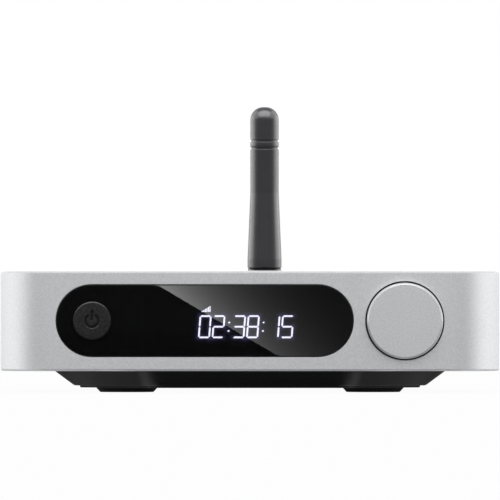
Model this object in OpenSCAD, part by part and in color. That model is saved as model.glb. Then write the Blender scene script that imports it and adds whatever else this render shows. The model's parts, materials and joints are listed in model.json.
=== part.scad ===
// Network music streamer: a small desktop case with a window, a button, a knob and an antenna.
// Millimetres, Z up, the front faces -Y. The origin lies on the ground under the middle
// of the whole outline, from the knob's face to the antenna's knuckle.

/* [Case] */
// Width of the case
body_w = 120; // [118:1:140]
// Depth of the case, front to rear
body_d = 120; // [116:1:150]
// Height of the case above its base
body_h = 24; // [23.4:0.2:30]
// Radius of the upright corners
corner_r = 15; // [10:0.5:16]
// Thickness of the side walls
wall = 2.4; // [2:0.1:3]
// Thickness of the top
top_t = 1.8; // [1.4:0.1:2.2]
// Rounding of the outer edges
edge_r = 0.5; // [0.3:0.1:0.9]

/* [Base] */
// Width of the octagonal base where it meets the case
base_w = 95; // [86:0.2:100]
// Leg of the base's cut corners
base_corner = 20.2; // [14:0.2:24]
// Height of the drafted base
base_h = 3.7; // [2.8:0.1:6]
// How far the base draws in towards its lower edge
base_draft = 5; // [2:0.1:5.4]
// Rounding of the base's upright edges at the top
base_edge_r = 7; // [5.5:0.1:10]
// Height of the thin step under the base
step_h = 0.5; // [0.4:0.1:1]
// How far the step stands in from the base's lower edge
step_inset = 1.3; // [0.6:0.1:3]
// Thickness of the bottom cover
cover_t = 2; // [1.6:0.1:2.4]
// Diameter of the feet at the base
foot_d = 14.9; // [11:0.1:16]
// How much the feet draw in towards the ground
foot_taper = 1; // [0.2:0.1:2]
// Height of the feet
foot_h = 1.1; // [0.8:0.1:4]
// Distance between the feet across the case
foot_pitch_x = 59.6; // [54:0.2:62]
// Distance between the feet from front to rear
foot_pitch_y = 46; // [40:0.2:50]

/* [Front] */
// How far the controls lie above the middle of the case's height
control_rise = 0.1; // [-0.4:0.1:0.4]
// Width of the window
window_w = 71.6; // [64:0.2:73]
// Height of the window
window_h = 17.5; // [15:0.1:18]
// Wall between the window and the knob's opening
window_web = 2.7; // [2:0.1:4]
// How far the window lies behind the front face
lens_recess = 0.15; // [0.1:0.05:0.8]
// Bevel of the window's and the knob's openings
opening_bevel = 0.1; // [0.1:0.05:0.5]
// Diameter of the power button
button_d = 9.15; // [7:0.05:11]
// How far the button stands in front of the window
button_proud = 0.25; // [0.1:0.05:0.8]
// Travel of the power button
button_travel = 0.4; // [0.2:0.1:0.6]
// Diameter of the knob
knob_d = 18.1; // [15:0.1:18.6]
// Gap between the knob and its opening
knob_gap = 0.45; // [0.3:0.05:0.7]
// How far the knob stands in front of the case
knob_proud = 5; // [3:0.1:10]
// Bevel round the knob's face
knob_bevel = 0.5; // [0.2:0.1:1.5]
// Travel of the knob when it is pushed
knob_travel = 0.5; // [0.3:0.1:0.8]

/* [Display] */
// Width of the display's glass
display_w = 46; // [40:1:48]
// Height of the display's glass
display_h = 15; // [12:0.5:16]
// Middle of the display, from the middle of the window
display_shift = 9.6; // [8:0.1:12]

/* [Rear] */
// Height of the frame above and below the rear panel
rear_frame = 3.2; // [2.8:0.1:3.8]
// How far the rear panel lies behind the rear face
panel_recess = 0.4; // [0.2:0.1:1]
// Width of the rear panel's hidden lip
panel_lip = 1.4; // [1:0.1:1.8]
// Thickness of the rear panel's hidden lip
panel_lip_t = 1.5; // [1:0.1:2]
// Length of the phono sockets' barrels
barrel_l = 7.5; // [6.5:0.1:8]
// Diameter of the phono sockets' barrels
barrel_d = 8.3; // [8.2:0.05:8.4]

/* [Antenna] */
// Middle of the antenna, from the middle of the case
antenna_x = 3.6; // [3:0.1:4.2]
// Height of the antenna's jack above the case's lower edge
antenna_h = 12.2; // [11:0.1:13]
// Length of the antenna's sleeve
sleeve_l = 39.9; // [34:0.1:120]
// Diameter of the sleeve's upper part
sleeve_tip_d = 7.05; // [6.6:0.05:9]
// Diameter of the sleeve's lower end
sleeve_base_d = 8.45; // [8.2:0.05:9]
// Length of the straight part at the sleeve's lower end
sleeve_foot_l = 2.2; // [1:0.1:4]
// Height at which the sleeve's taper ends, from its lower end
taper_l = 18.6; // [12:0.1:22]
// Rounding of the sleeve's tip
tip_r = 3.2; // [1:0.1:3.3]
// Distance from the sleeve's tip to its first groove
groove_top = 8.4; // [6:0.1:12]
// Distance between the two grooves
groove_pitch = 1.85; // [1.6:0.05:4]
// Width of each groove
groove_w = 0.65; // [0.5:0.05:1.2]
// Depth of each groove
groove_t = 0.25; // [0.1:0.05:0.5]
// Length of the ferrule under the sleeve
ferrule_l = 7.8; // [5:0.1:14]
// Diameter of the swivelling knuckle
knuckle_d = 8.6; // [8.2:0.1:9]

/* [Inside] */
// Thickness of the circuit boards
board_t = 1.6; // [1.2:0.1:2]
// Height of the main board's standoffs
standoff_h = 1.1; // [0.8:0.1:1.6]

/* [Fits] */
// Gap between fixed pieces that slip together
fit_gap = 0.2; // [0.1:0.05:0.3]
// Gap between a turning piece and what holds it
run_gap = 0.05; // [0.03:0.01:0.08]
// Gap round the power button
button_gap = 0.12; // [0.1:0.01:0.2]

/* [Hidden] */
$fn = 64;

// Levels
step_z = foot_h + step_h;
body_z = step_z + base_h;
body_top = body_z + body_h;
cover_top = body_z + cover_t;
roof_z = body_top - top_t;
control_z = body_h / 2 + control_rise;
axis_z = body_z + control_z;
board_z = cover_top + standoff_h;
board_top = board_z + board_t;
base_floor = 1.2;
floor_z = step_z + base_floor;
step_round = 1.9;
over = 1;
weld = 0.5;
step_draft = 0.4;

// Screws, and the posts that they go into
case_screw_r = 1.45;
case_screw_l = 10;
case_head_r = 2.7;
case_head_t = 1.8;
head_drop = 0.7;
head_seat = body_z - head_drop;
case_post_r = 3.4;
post_gap = 0.4;
base_post_r = 4.2;
board_screw_r = 1.1;
board_head_r = 2.2;
board_head_t = 1.4;
standoff_r = 3;
standoff_side = 15;
standoff_end = 24;
standoff_x = body_w / 2 - standoff_side;
standoff_y = body_d / 2 - standoff_end;
front_screw_r = 0.8;
front_screw_l = 6.6;
front_head_r = 1.7;
front_head_t = 1.2;
thread_gap = run_gap;

// Antenna chain, from the rear panel outwards
antenna_z = body_z + antenna_h;
thread_r = 3.15;
washer_t = 0.4;
nut_t = 2;
collar_l = 6.5;
collar_r = 4.9;
collar_wall = 1.2;
knuckle_r = knuckle_d / 2;
knuckle_gap = 0.3;
knuckle_base = 1.5;
tongue_r = knuckle_r - 0.3;
tongue_t = knuckle_d * 0.46;
tongue_gap = 0.1;
chain_l = washer_t + nut_t + fit_gap + collar_l + knuckle_gap + knuckle_base + tongue_r + fit_gap;

// Middle of the case, so that the whole outline is centred on the origin
rear_reach = chain_l - panel_recess + max(knuckle_r, sleeve_base_d / 2);
mid_y = (knob_proud - rear_reach) / 2;

// Front stack, from the face inwards
front_y = mid_y - body_d / 2;
inner_front = front_y + wall;
lens_front = front_y + lens_recess;
gasket_t = 0.3;
lens_seat = inner_front - gasket_t;
lens_step = lens_seat + gasket_t;
lens_flange_t = 1.4;
lens_back = lens_step + lens_flange_t;
lens_lip = 0.8;
knob_front = front_y - knob_proud;
knob_skirt = 0.6;
knob_back = inner_front + knob_skirt;
bush_gap = 0.3;
bush_l = 3.5;
bush_d = 7;
bush_front = knob_back + knob_travel + bush_gap;
bush_back = bush_front + bush_l;
encoder_t = 6.5;
front_board_y = bush_back + encoder_t;
front_board_back = front_board_y + board_t;
frame_gap = 0.1;
frame_wall = 1;
frame_rim = 0.8;
frame_floor = 1.4;
glass_t = 2.2;
light_t = 3.6;
glass_front = lens_back + frame_gap;
glass_back = glass_front + glass_t;
light_back = glass_back + light_t;

// Window and knob stand side by side, in the middle of the front
knob_bore = knob_d + 2 * knob_gap;
front_row = window_w + window_web + knob_bore;
window_x = (window_w - front_row) / 2;
knob_x = (front_row - knob_bore) / 2;
display_x = window_x + display_shift;
window_arc = (window_w - window_h) / 2;
button_x = window_x - window_arc;
button_face = lens_front - button_proud;
button_flange = lens_back + fit_gap;
button_rim = 0.3;
button_lip = 1.1;
button_flange_t = 1;
button_stem_r = 2;
switch_half = 3;
switch_t = 3.5;
switch_front = front_board_y - switch_t;
plunger_d = 3.4;
plunger_out = 1.5;
plunger_in = 1.2;
plunger_spare = 0.5;
plunger_front = switch_front - plunger_out;
encoder_half = 6.2;
boss_r = 2.6;
boss_gap = 0.5;
boss_side = 10;
boss_x = max(body_w / 2 - boss_side, knob_x + encoder_half + boss_r + boss_gap);
boss_z = 6.7;
board_gap = 0.4;
board_rim = 3;
shaft_r = 3;
shaft_flat = 1.5;
shaft_tail = 2.5;
shaft_back = bush_back + shaft_tail;
pusher_d = 5.4;
pusher_l = 1.4;
pusher_room = 2.4;
knob_wall = 1.6;
knob_face_t = 2;
knob_hub_r = 4.8;
shaft_gap = 0.4;
shaft_tip = knob_front + knob_face_t + shaft_gap;

// Main board and what stands on it
board_inset = 11;
board_front_gap = 2;
board_round = 2;
ribbon_reach = 7;
ribbon_w = 13;
ribbon_t = 0.3;
ribbon_plug_w = 16;
ribbon_plug_t = 4;
ribbon_plug_h = 2.4;
ribbon_head_t = 2.2;
ribbon_y = front_board_back + ribbon_reach;
carrier_w = 18;
carrier_t = 0.6;
chip_w = 15;
chip_t = 1.2;
dac_w = 7;
dac_t = 1.4;
dac_edge = 0.5;
dac_y = mid_y + 12;
can_r = 3.2;
can_h = 8;
can_pitch = 7.5;
can_y = mid_y - 14;
can_left = 5;
can_right = 2;
clock_w = 5;
clock_d = 3.2;
clock_t = 1.6;
clock_edge = 0.8;
clock_pitch = 7;
clock_y = mid_y + 4;
clock_right = 8;

// Rear stack, from the panel outwards
rear_y = mid_y + body_d / 2;
inner_rear = rear_y - wall;
panel_in = inner_rear - panel_lip_t;
panel_out = rear_y - panel_recess;
opening_w = body_w - 2 * (corner_r + panel_lip + 0.1);
opening_r = 3;
dc_w = 9;
dc_h = 11;
phono_w = 10;
phono_h = 12.4;
phono_l = 13;
phono_pin_d = 3.2;
phono_dish = 0.6;
phono_ring = 0.75;
ring_t = 0.8;
barrel_wall = 0.75;
root_step = 0.3;
phono_up = 7;
phono_z = board_top + phono_up;
optical_w = 9.8;
optical_h = 10.2;
ethernet_w = 16;
ethernet_h = 13.4;

// Sockets spread evenly on each side of the antenna
left_gap = (opening_w / 2 + antenna_x - collar_r - 2 * phono_w - ethernet_w) / 4;
right_gap = (opening_w / 2 - antenna_x - collar_r - optical_w - phono_w - dc_w) / 4;
line_right_x = -opening_w / 2 + left_gap + phono_w / 2;
line_left_x = line_right_x + phono_w + left_gap;
ethernet_x = line_left_x + phono_w / 2 + left_gap + ethernet_w / 2;
optical_x = antenna_x + collar_r + right_gap + optical_w / 2;
coax_x = optical_x + optical_w / 2 + right_gap + phono_w / 2;
dc_x = coax_x + phono_w / 2 + right_gap + dc_w / 2;

// Optical socket
optical_lip = 0.6;
optical_out = panel_out + optical_lip;
optical_l = 14;
optical_cave = 8.3;
optical_depth = 10.5;
optical_rise = 0.1;
optical_z = board_top + optical_h / 2 + optical_rise;
emitter_d = 2.6;
emitter_t = 1.2;
emitter_drop = 0.6;
flap_t = 0.9;
flap_r = 0.6;
flap_pin_r = 0.45;
flap_pin_l = 0.5;
flap_gap = 0.15;
flap_z = optical_z + optical_cave / 2 - flap_r - flap_gap;
flap_inset = 1.1;
flap_y = optical_out - flap_inset;

// Network socket
ethernet_lip = 0.4;
ethernet_out = panel_out + ethernet_lip;
ethernet_l = 21;
ethernet_back = ethernet_out - ethernet_l;
sheet_t = 0.35;
mouth_rim = 1.2;
mouth_sill = 0.9;
port_w = 11.8;
port_h = 7.2;
port_l = 13;
port_up = 3;
port_z = board_top + port_up;
port_back = ethernet_out - port_l;
latch_w = 6.2;
latch_h = 1.6;
latch_end = 4;
contact_pitch = 1.02;
contact_w = 0.36;
contact_l = 9;
contact_t = 0.4;
contact_drop = 1.3;
contact_foot = 2;
contact_count = 8;

// Radio module and its lead
wifi_w = 16;
wifi_front = 7;
wifi_rear = 9;
wifi_t = 0.8;
wifi_gap = 0.5;
wifi_y = ethernet_back - wifi_rear - wifi_gap;
shield_w = 14;
shield_front = 6;
shield_rear = 1;
shield_t = 2;
socket_r = 1;
socket_h = 0.8;
plug_r = 1.3;
plug_h = 1.4;
plug_y = wifi_y + 7;
lead_d = 1.1;
lead_run = 3;

// Power socket
dc_lip = 0.3;
dc_out = panel_out + dc_lip;
dc_up = 6.4;
dc_z = board_top + dc_up;
dc_l = 14;
dc_depth = 9.5;
dc_hole_d = 5.7;
dc_pin_d = 2.1;
dc_pin_short = 1;

// Antenna pieces
collar_y = panel_out + washer_t + nut_t + fit_gap;
collar_end = collar_y + collar_l;
jack_gap = 1;
jack_end = collar_end - collar_wall - jack_gap;
jack_hex_d = 9.2;
jack_flange_t = 2;
jack_tail_d = 3;
jack_tail_l = 4;
washer_r = 4.6;
collar_edge = 0.3;
neck_r = 2.5;
neck_head_t = 0.7;
neck_head_gap = 0.15;
knuckle_y = collar_end + knuckle_gap;
hinge_y = panel_out + chain_l;
pin_r = 1;
pin_gap = 0.02;
pin_short = 0.6;
tongue_w = 5.6;
ferrule_step = 0.12;
ferrule_edge = 0.5;
ferrule_rim = 0.2;
ferrule_z = antenna_z + knuckle_r + knuckle_gap;
ferrule_r = sleeve_base_d / 2 - ferrule_step;
sleeve_z = ferrule_z + ferrule_l;
spigot_r = 2.6;
spigot_l = 4.2;
spigot_room = 1.1;
sleeve_edge = 0.15;
radiator_r = 1.9;
radiator_gap = 0.3;
radiator_wire_r = 0.6;
radiator_end = 5;
radiator_l = sleeve_l - spigot_l - groove_top - radiator_end;

function course(a, b) = atan2(b.y - a.y, b.x - a.x);

function rect_path(w, d) = [[w / 2, d / 2], [-w / 2, d / 2], [-w / 2, -d / 2], [w / 2, -d / 2]];

// Corners of the base's octagon, drawn in by inset
function base_path(inset) =
    let (half = base_w / 2 - inset)
    let (cut = base_w - base_corner - inset * sqrt(2) - half)
    [[half, cut], [cut, half], [-cut, half], [-half, cut],
     [-half, -cut], [-cut, -half], [cut, -half], [half, -cut]];

module box(x0, x1, y0, y1, z0, z1) {
    translate([x0, y0, z0]) cube([x1 - x0, y1 - y0, z1 - z0]);
}

// Flat shape of the X-Z plane, as thick as from y0 to y1
module slab_y(y0, y1) {
    translate([0, y1, 0]) rotate([90, 0, 0]) linear_extrude(y1 - y0) children();
}

module rod_y(x, z, y0, y1, d) {
    slab_y(y0, y1) translate([x, z]) circle(d = d);
}

// Profile of radius and Y, turned about a line along Y
module turned_y(x, z) {
    translate([x, 0, z]) rotate([-90, 0, 0]) rotate_extrude() children();
}

module rounded(w, h, r) {
    square([w - 2 * r, h], center = true);
    square([w, h - 2 * r], center = true);
    for (sx = [-1, 1])
        for (sy = [-1, 1])
            translate([sx * (w / 2 - r), sy * (h / 2 - r)]) circle(r = r);
}

module obround(w, h) {
    square([w - h, h], center = true);
    for (side = [-1, 1])
        translate([side * (w - h) / 2, 0]) circle(d = h);
}

module flat_round(d, flat) {
    difference() {
        circle(d = d);
        translate([-d, flat]) square([2 * d, d]);
    }
}

// Carries a profile round a closed path and turns it about each corner
module swept(path) {
    count = len(path);
    for (i = [0 : count - 1]) {
        here = path[i];
        next = path[(i + 1) % count];
        last = path[(i + count - 1) % count];
        way = course(here, next);
        turn = (way - course(last, here) + 360) % 360;
        length = norm(next - here);
        translate(here) rotate(way - 90) translate([0, length, 0]) rotate([90, 0, 0])
            linear_extrude(length) children();
        translate(here) rotate(way - turn - 90) rotate_extrude(angle = turn) children();
    }
}

// Four places, equally far from the case's middle
module at_four(x, y) {
    for (sx = [-1, 1])
        for (sy = [-1, 1])
            translate([sx * x, mid_y + sy * y, 0]) children();
}

module at_middle() {
    translate([0, mid_y, 0]) children();
}

module at_case_screws() {
    at_four(foot_pitch_x / 2, foot_pitch_y / 2) children();
}

module at_standoffs() {
    at_four(standoff_x, standoff_y) children();
}

module at_front_bosses() {
    for (sx = [-1, 1])
        for (sz = [-1, 1])
            translate([sx * boss_x, 0, axis_z + sz * boss_z]) children();
}

// Screw with its head's seat at the origin, its point upwards and a hexagon in its head
module screw(shank_r, shank_l, head_r, head_t) {
    difference() {
        union() {
            cylinder(r = shank_r, h = shank_l);
            translate([0, 0, -head_t]) cylinder(r = head_r, h = head_t);
        }
        translate([0, 0, -head_t - over]) cylinder(r = head_r / 2, h = over + head_t / 2, $fn = 6);
    }
}

module shell_profile() {
    difference() {
        union() {
            translate([0, body_z]) square([corner_r - edge_r, body_h]);
            translate([0, body_z + edge_r]) square([corner_r, body_h - 2 * edge_r]);
            translate([corner_r - edge_r, body_z + edge_r]) circle(r = edge_r);
            translate([corner_r - edge_r, body_top - edge_r]) circle(r = edge_r);
        }
        translate([0, body_z - over]) square([corner_r - wall, body_h - top_t + over]);
    }
}

// Cuts the window's opening with its bevelled rim
module window_cut() {
    slab_y(lens_seat, lens_back + over / 2) translate([window_x, axis_z])
        obround(window_w + 2 * (lens_lip + fit_gap), window_h + 2 * (lens_lip + fit_gap));
    slab_y(front_y - over, inner_front + over) translate([window_x, axis_z]) obround(window_w, window_h);
    for (side = [-1, 1])
        translate([window_x + side * window_arc, front_y, axis_z]) rotate([-90, 0, 0])
            cylinder(d1 = window_h + 2 * opening_bevel, d2 = window_h, h = opening_bevel);
    translate([window_x, front_y, axis_z]) rotate([90, 0, 90])
        linear_extrude(2 * window_arc, center = true)
            polygon([[0, -window_h / 2 - opening_bevel], [opening_bevel, -window_h / 2],
                     [opening_bevel, window_h / 2], [0, window_h / 2 + opening_bevel]]);
}

// Cuts the knob's opening with its bevelled rim
module knob_cut() {
    rod_y(knob_x, axis_z, front_y - over, inner_front + over, knob_bore);
    translate([knob_x, front_y, axis_z]) rotate([-90, 0, 0])
        cylinder(d1 = knob_bore + 2 * opening_bevel, d2 = knob_bore, h = opening_bevel);
}

module rear_opening() {
    translate([0, (body_z + body_top) / 2]) children();
}

// Bosses for the front board, kept inside the case's corners
module front_bosses() {
    intersection() {
        at_front_bosses() rod_y(0, 0, inner_front - weld, front_board_y, 2 * boss_r);
        at_middle() translate([0, 0, body_z]) linear_extrude(body_h)
            rounded(body_w - wall, body_d - wall, corner_r - wall / 2);
    }
}

module case_shell() {
    flat_w = body_w - 2 * corner_r;
    flat_d = body_d - 2 * corner_r;
    color([0.78, 0.79, 0.8]) difference() {
        union() {
            at_middle() swept(rect_path(flat_w, flat_d)) shell_profile();
            at_middle() translate([0, 0, roof_z]) linear_extrude(top_t)
                square([flat_w, flat_d], center = true);
            at_case_screws() translate([0, 0, cover_top]) cylinder(r = case_post_r, h = roof_z - cover_top);
            front_bosses();
        }
        window_cut();
        knob_cut();
        slab_y(inner_rear - over, rear_y + over) rear_opening()
            rounded(opening_w, body_h - 2 * rear_frame, opening_r);
        at_case_screws() translate([0, 0, head_seat])
            cylinder(r = case_screw_r + thread_gap, h = case_screw_l + post_gap);
        at_front_bosses() rod_y(0, 0, front_board_back - front_screw_l - post_gap, front_board_y + over,
            2 * (front_screw_r + thread_gap));
    }
}

// Hollow of the base, which leaves a post round every case screw
module base_hollow() {
    difference() {
        polygon(base_path(base_draft + cover_t));
        for (sx = [-1, 1])
            for (sy = [-1, 1])
                translate([sx * foot_pitch_x / 2, sy * foot_pitch_y / 2]) circle(r = base_post_r);
    }
}

module cover_plate() {
    gap = wall + fit_gap;
    translate([0, 0, body_z]) linear_extrude(cover_t)
        rounded(body_w - 2 * gap, body_d - 2 * gap, corner_r - gap);
}

// Drafted octagon with rounded edges, let a little into the plate above it
module base_block() {
    hull() for (corner = base_path(base_edge_r))
        translate([corner.x, corner.y, step_z]) {
            cylinder(r1 = base_edge_r - base_draft, r2 = base_edge_r, h = base_h);
            translate([0, 0, base_h]) cylinder(r = base_edge_r, h = weld);
        }
}

// Thin step under the base, let a little into it
module base_step() {
    hull() for (corner = base_path(base_draft + step_inset + step_round))
        translate([corner.x, corner.y, foot_h]) {
            cylinder(r1 = step_round - step_draft, r2 = step_round, h = step_h);
            translate([0, 0, step_h]) cylinder(r = step_round, h = weld);
        }
}

module hollow_base() {
    difference() {
        union() {
            cover_plate();
            base_block();
            base_step();
        }
        translate([0, 0, floor_z]) linear_extrude(cover_top - floor_z + over) base_hollow();
    }
}

module bottom_cover() {
    color([0.1, 0.1, 0.11]) difference() {
        union() {
            at_middle() hollow_base();
            at_standoffs() translate([0, 0, body_z + cover_t / 2])
                cylinder(r = standoff_r, h = board_z - body_z - cover_t / 2);
        }
        at_case_screws() translate([0, 0, foot_h - over])
            cylinder(r = case_head_r + post_gap, h = head_seat - foot_h + over);
        at_case_screws() cylinder(r = case_screw_r + fit_gap, h = cover_top + over);
        at_standoffs() translate([0, 0, body_z + cover_t / 4])
            cylinder(r = board_screw_r + thread_gap, h = cover_t + standoff_h);
    }
}

module rubber_feet() {
    color([0.06, 0.06, 0.06]) at_case_screws()
        cylinder(r1 = foot_d / 2 - foot_taper, r2 = foot_d / 2, h = foot_h);
}

module case_screws() {
    color([0.3, 0.3, 0.32]) at_case_screws() translate([0, 0, head_seat])
        screw(case_screw_r, case_screw_l, case_head_r, case_head_t);
}

module window_lens() {
    color([0.03, 0.03, 0.04]) difference() {
        union() {
            slab_y(lens_front, lens_step) translate([window_x, axis_z])
                obround(window_w - fit_gap, window_h - fit_gap);
            slab_y(lens_step, lens_back) translate([window_x, axis_z])
                obround(window_w + 2 * lens_lip, window_h + 2 * lens_lip);
        }
        rod_y(button_x, axis_z, lens_front - over, lens_back + over, button_d + 2 * button_gap);
    }
}

module window_gasket() {
    color([0.05, 0.05, 0.05]) slab_y(lens_seat, lens_step) translate([window_x, axis_z])
        difference() {
            obround(window_w + 2 * lens_lip, window_h + 2 * lens_lip);
            obround(window_w, window_h);
        }
}

module power_button() {
    r = button_d / 2;
    flange_back = button_flange + button_flange_t;
    color([0.16, 0.16, 0.17]) turned_y(button_x, axis_z)
        polygon([[0, button_face], [r - button_rim, button_face], [r, button_face + button_rim],
                 [r, button_flange], [r + button_lip, button_flange], [r + button_lip, flange_back],
                 [button_stem_r, flange_back], [button_stem_r, plunger_front], [0, plunger_front]]);
}

module switch_plunger() {
    color([0.12, 0.12, 0.12])
        rod_y(button_x, axis_z, plunger_front, switch_front + plunger_in, plunger_d);
}

module power_switch() {
    room = plunger_in + button_travel + plunger_spare;
    color([0.25, 0.25, 0.26]) difference() {
        box(button_x - switch_half, button_x + switch_half, switch_front, front_board_y,
            axis_z - switch_half, axis_z + switch_half);
        rod_y(button_x, axis_z, switch_front - over, switch_front + room, plunger_d + 2 * run_gap);
    }
}

module display_glass() {
    color([0.2, 0.22, 0.26]) box(display_x - display_w / 2, display_x + display_w / 2,
        glass_front, glass_back, axis_z - display_h / 2, axis_z + display_h / 2);
}

module display_backlight() {
    color([0.9, 0.92, 0.95]) box(display_x - display_w / 2, display_x + display_w / 2,
        glass_back, light_back, axis_z - display_h / 2, axis_z + display_h / 2);
}

module display_frame() {
    inside_w = display_w + 2 * frame_gap;
    inside_h = display_h + 2 * frame_gap;
    color([0.15, 0.15, 0.16]) difference() {
        slab_y(glass_front + frame_rim, front_board_y) translate([display_x, axis_z])
            square([inside_w + 2 * frame_wall, inside_h + 2 * frame_rim], center = true);
        slab_y(glass_front, light_back) translate([display_x, axis_z])
            square([inside_w, inside_h], center = true);
        slab_y(light_back + frame_floor, front_board_y + over) translate([display_x, axis_z])
            square([inside_w - 2 * frame_wall, inside_h - 2 * frame_wall], center = true);
    }
}

module front_board() {
    half_w = boss_x + board_rim;
    color([0.08, 0.3, 0.16]) difference() {
        box(-half_w, half_w, front_board_y, front_board_back, cover_top + board_gap, roof_z - board_gap);
        at_front_bosses()
            rod_y(0, 0, front_board_y - over, front_board_back + over, 2 * (front_screw_r + fit_gap));
    }
}

module front_board_screws() {
    color([0.7, 0.7, 0.72]) at_front_bosses() translate([0, front_board_back, 0]) rotate([90, 0, 0])
        screw(front_screw_r, front_screw_l, front_head_r, front_head_t);
}

module encoder_body() {
    color([0.6, 0.6, 0.62]) difference() {
        union() {
            box(knob_x - encoder_half, knob_x + encoder_half, bush_back, front_board_y,
                axis_z - encoder_half, axis_z + encoder_half);
            rod_y(knob_x, axis_z, bush_front, bush_back, bush_d);
        }
        rod_y(knob_x, axis_z, bush_front - over, shaft_back + pusher_room, 2 * (shaft_r + run_gap));
    }
}

module encoder_shaft() {
    round_y = bush_front - fit_gap;
    color([0.75, 0.75, 0.77]) union() {
        slab_y(shaft_tip, round_y) translate([knob_x, axis_z]) flat_round(2 * shaft_r, shaft_flat);
        rod_y(knob_x, axis_z, round_y, shaft_back, 2 * shaft_r);
    }
}

module encoder_plunger() {
    color([0.85, 0.85, 0.8]) rod_y(knob_x, axis_z, shaft_back, shaft_back + pusher_l, pusher_d);
}

module knob_cap() {
    r = knob_d / 2;
    inner = r - knob_wall;
    face_back = knob_front + knob_face_t;
    color([0.8, 0.8, 0.82]) difference() {
        turned_y(knob_x, axis_z)
            polygon([[0, knob_front], [r - knob_bevel, knob_front], [r, knob_front + knob_bevel],
                     [r, knob_back], [inner, knob_back], [inner, face_back],
                     [knob_hub_r, face_back], [knob_hub_r, knob_back], [0, knob_back]]);
        slab_y(shaft_tip, knob_back + over) translate([knob_x, axis_z])
            flat_round(2 * (shaft_r + run_gap), shaft_flat + run_gap);
    }
}

module main_board() {
    half_w = body_w / 2 - board_inset;
    rear = panel_in - board_gap;
    front = front_board_back + board_front_gap;
    color([0.06, 0.26, 0.14]) difference() {
        translate([0, (front + rear) / 2, board_z]) linear_extrude(board_t)
            rounded(2 * half_w, rear - front, board_round);
        at_case_screws() translate([0, 0, board_z - over])
            cylinder(r = case_post_r + post_gap, h = board_t + 2 * over);
        at_standoffs() translate([0, 0, board_z - over])
            cylinder(r = board_screw_r + fit_gap, h = board_t + 2 * over);
    }
}

module main_board_screws() {
    reach = board_top - body_z - cover_t / 4 - post_gap;
    color([0.7, 0.7, 0.72]) at_standoffs() translate([0, 0, board_top]) rotate([180, 0, 0])
        screw(board_screw_r, reach, board_head_r, board_head_t);
}

module ribbon_connectors() {
    half_w = ribbon_plug_w / 2;
    half_t = ribbon_plug_t / 2;
    color([0.88, 0.86, 0.78]) union() {
        box(-half_w, half_w, ribbon_y - half_t, ribbon_y + half_t, board_top, board_top + ribbon_plug_h);
        box(-half_w, half_w, front_board_back, front_board_back + ribbon_head_t,
            axis_z - half_t, axis_z + half_t);
    }
}

module ribbon_cable() {
    half = ribbon_t / 2;
    start = front_board_back + ribbon_head_t;
    plug_top = board_top + ribbon_plug_h;
    color([0.92, 0.92, 0.94]) rotate([90, 0, 90]) linear_extrude(ribbon_w, center = true)
        polygon([[ribbon_y + half, plug_top], [ribbon_y + half, axis_z + half], [start, axis_z + half],
                 [start, axis_z - half], [ribbon_y - half, axis_z - half], [ribbon_y - half, plug_top]]);
}

module processor_chip() {
    color([0.12, 0.12, 0.13]) translate([0, mid_y, board_top]) {
        linear_extrude(carrier_t) square(carrier_w, center = true);
        translate([0, 0, carrier_t]) linear_extrude(chip_t) square(chip_w, center = true);
    }
}

module dac_chip() {
    color([0.1, 0.1, 0.1]) for (x = [line_left_x, line_right_x])
        translate([x, dac_y, board_top]) linear_extrude(dac_t) rounded(dac_w, dac_w, dac_edge);
}

module filter_capacitors() {
    color([0.2, 0.2, 0.28]) for (x = [line_left_x - can_left, line_right_x - can_right])
        for (i = [0 : 2])
            translate([x, can_y + i * can_pitch, board_top]) cylinder(r = can_r, h = can_h);
}

module clock_oscillators() {
    color([0.7, 0.7, 0.72]) for (i = [0, 1])
        translate([line_left_x + clock_right, clock_y + i * clock_pitch, board_top])
            linear_extrude(clock_t) rounded(clock_w, clock_d, clock_edge);
}

module wifi_module() {
    half = wifi_w / 2;
    shield = shield_w / 2;
    deck = board_top + wifi_t;
    color([0.72, 0.73, 0.75]) union() {
        box(antenna_x - half, antenna_x + half, wifi_y - wifi_front, wifi_y + wifi_rear, board_top, deck);
        box(antenna_x - shield, antenna_x + shield, wifi_y - shield_front, wifi_y + shield_rear,
            deck, deck + shield_t);
        translate([antenna_x, plug_y, deck]) cylinder(r = socket_r, h = socket_h);
    }
}

// Cable from the radio's plug, in one round bend back to the jack's tail
module antenna_lead() {
    plug_z = board_top + wifi_t + socket_h;
    tail_y = panel_in - jack_flange_t - jack_tail_l;
    low = plug_z + plug_h / 2;
    bend = (antenna_z - low) / 2;
    bend_y = plug_y - lead_run;
    color([0.1, 0.1, 0.1]) union() {
        translate([antenna_x, plug_y, plug_z]) cylinder(r = plug_r, h = plug_h);
        rod_y(antenna_x, low, bend_y, plug_y, lead_d);
        translate([antenna_x, bend_y, low + bend]) rotate([90, 0, 90]) rotate([0, 0, 90])
            rotate_extrude(angle = 180) translate([bend, 0]) circle(d = lead_d);
        rod_y(antenna_x, antenna_z, bend_y, tail_y, lead_d);
    }
}

module antenna_jack() {
    flange_y = panel_in - jack_flange_t;
    color([0.83, 0.68, 0.35]) union() {
        rod_y(antenna_x, antenna_z, flange_y - jack_tail_l, flange_y, jack_tail_d);
        slab_y(flange_y, panel_in) translate([antenna_x, antenna_z]) circle(d = jack_hex_d, $fn = 6);
        rod_y(antenna_x, antenna_z, panel_in, jack_end, 2 * thread_r);
    }
}

module antenna_jack_washer() {
    color([0.75, 0.75, 0.76]) slab_y(panel_out, panel_out + washer_t) translate([antenna_x, antenna_z])
        difference() {
            circle(r = washer_r);
            circle(r = thread_r + run_gap);
        }
}

module antenna_jack_nut() {
    nut_y = panel_out + washer_t;
    color([0.83, 0.68, 0.35]) slab_y(nut_y, nut_y + nut_t) translate([antenna_x, antenna_z])
        difference() {
            circle(d = jack_hex_d, $fn = 6);
            circle(r = thread_r + thread_gap);
        }
}

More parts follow.
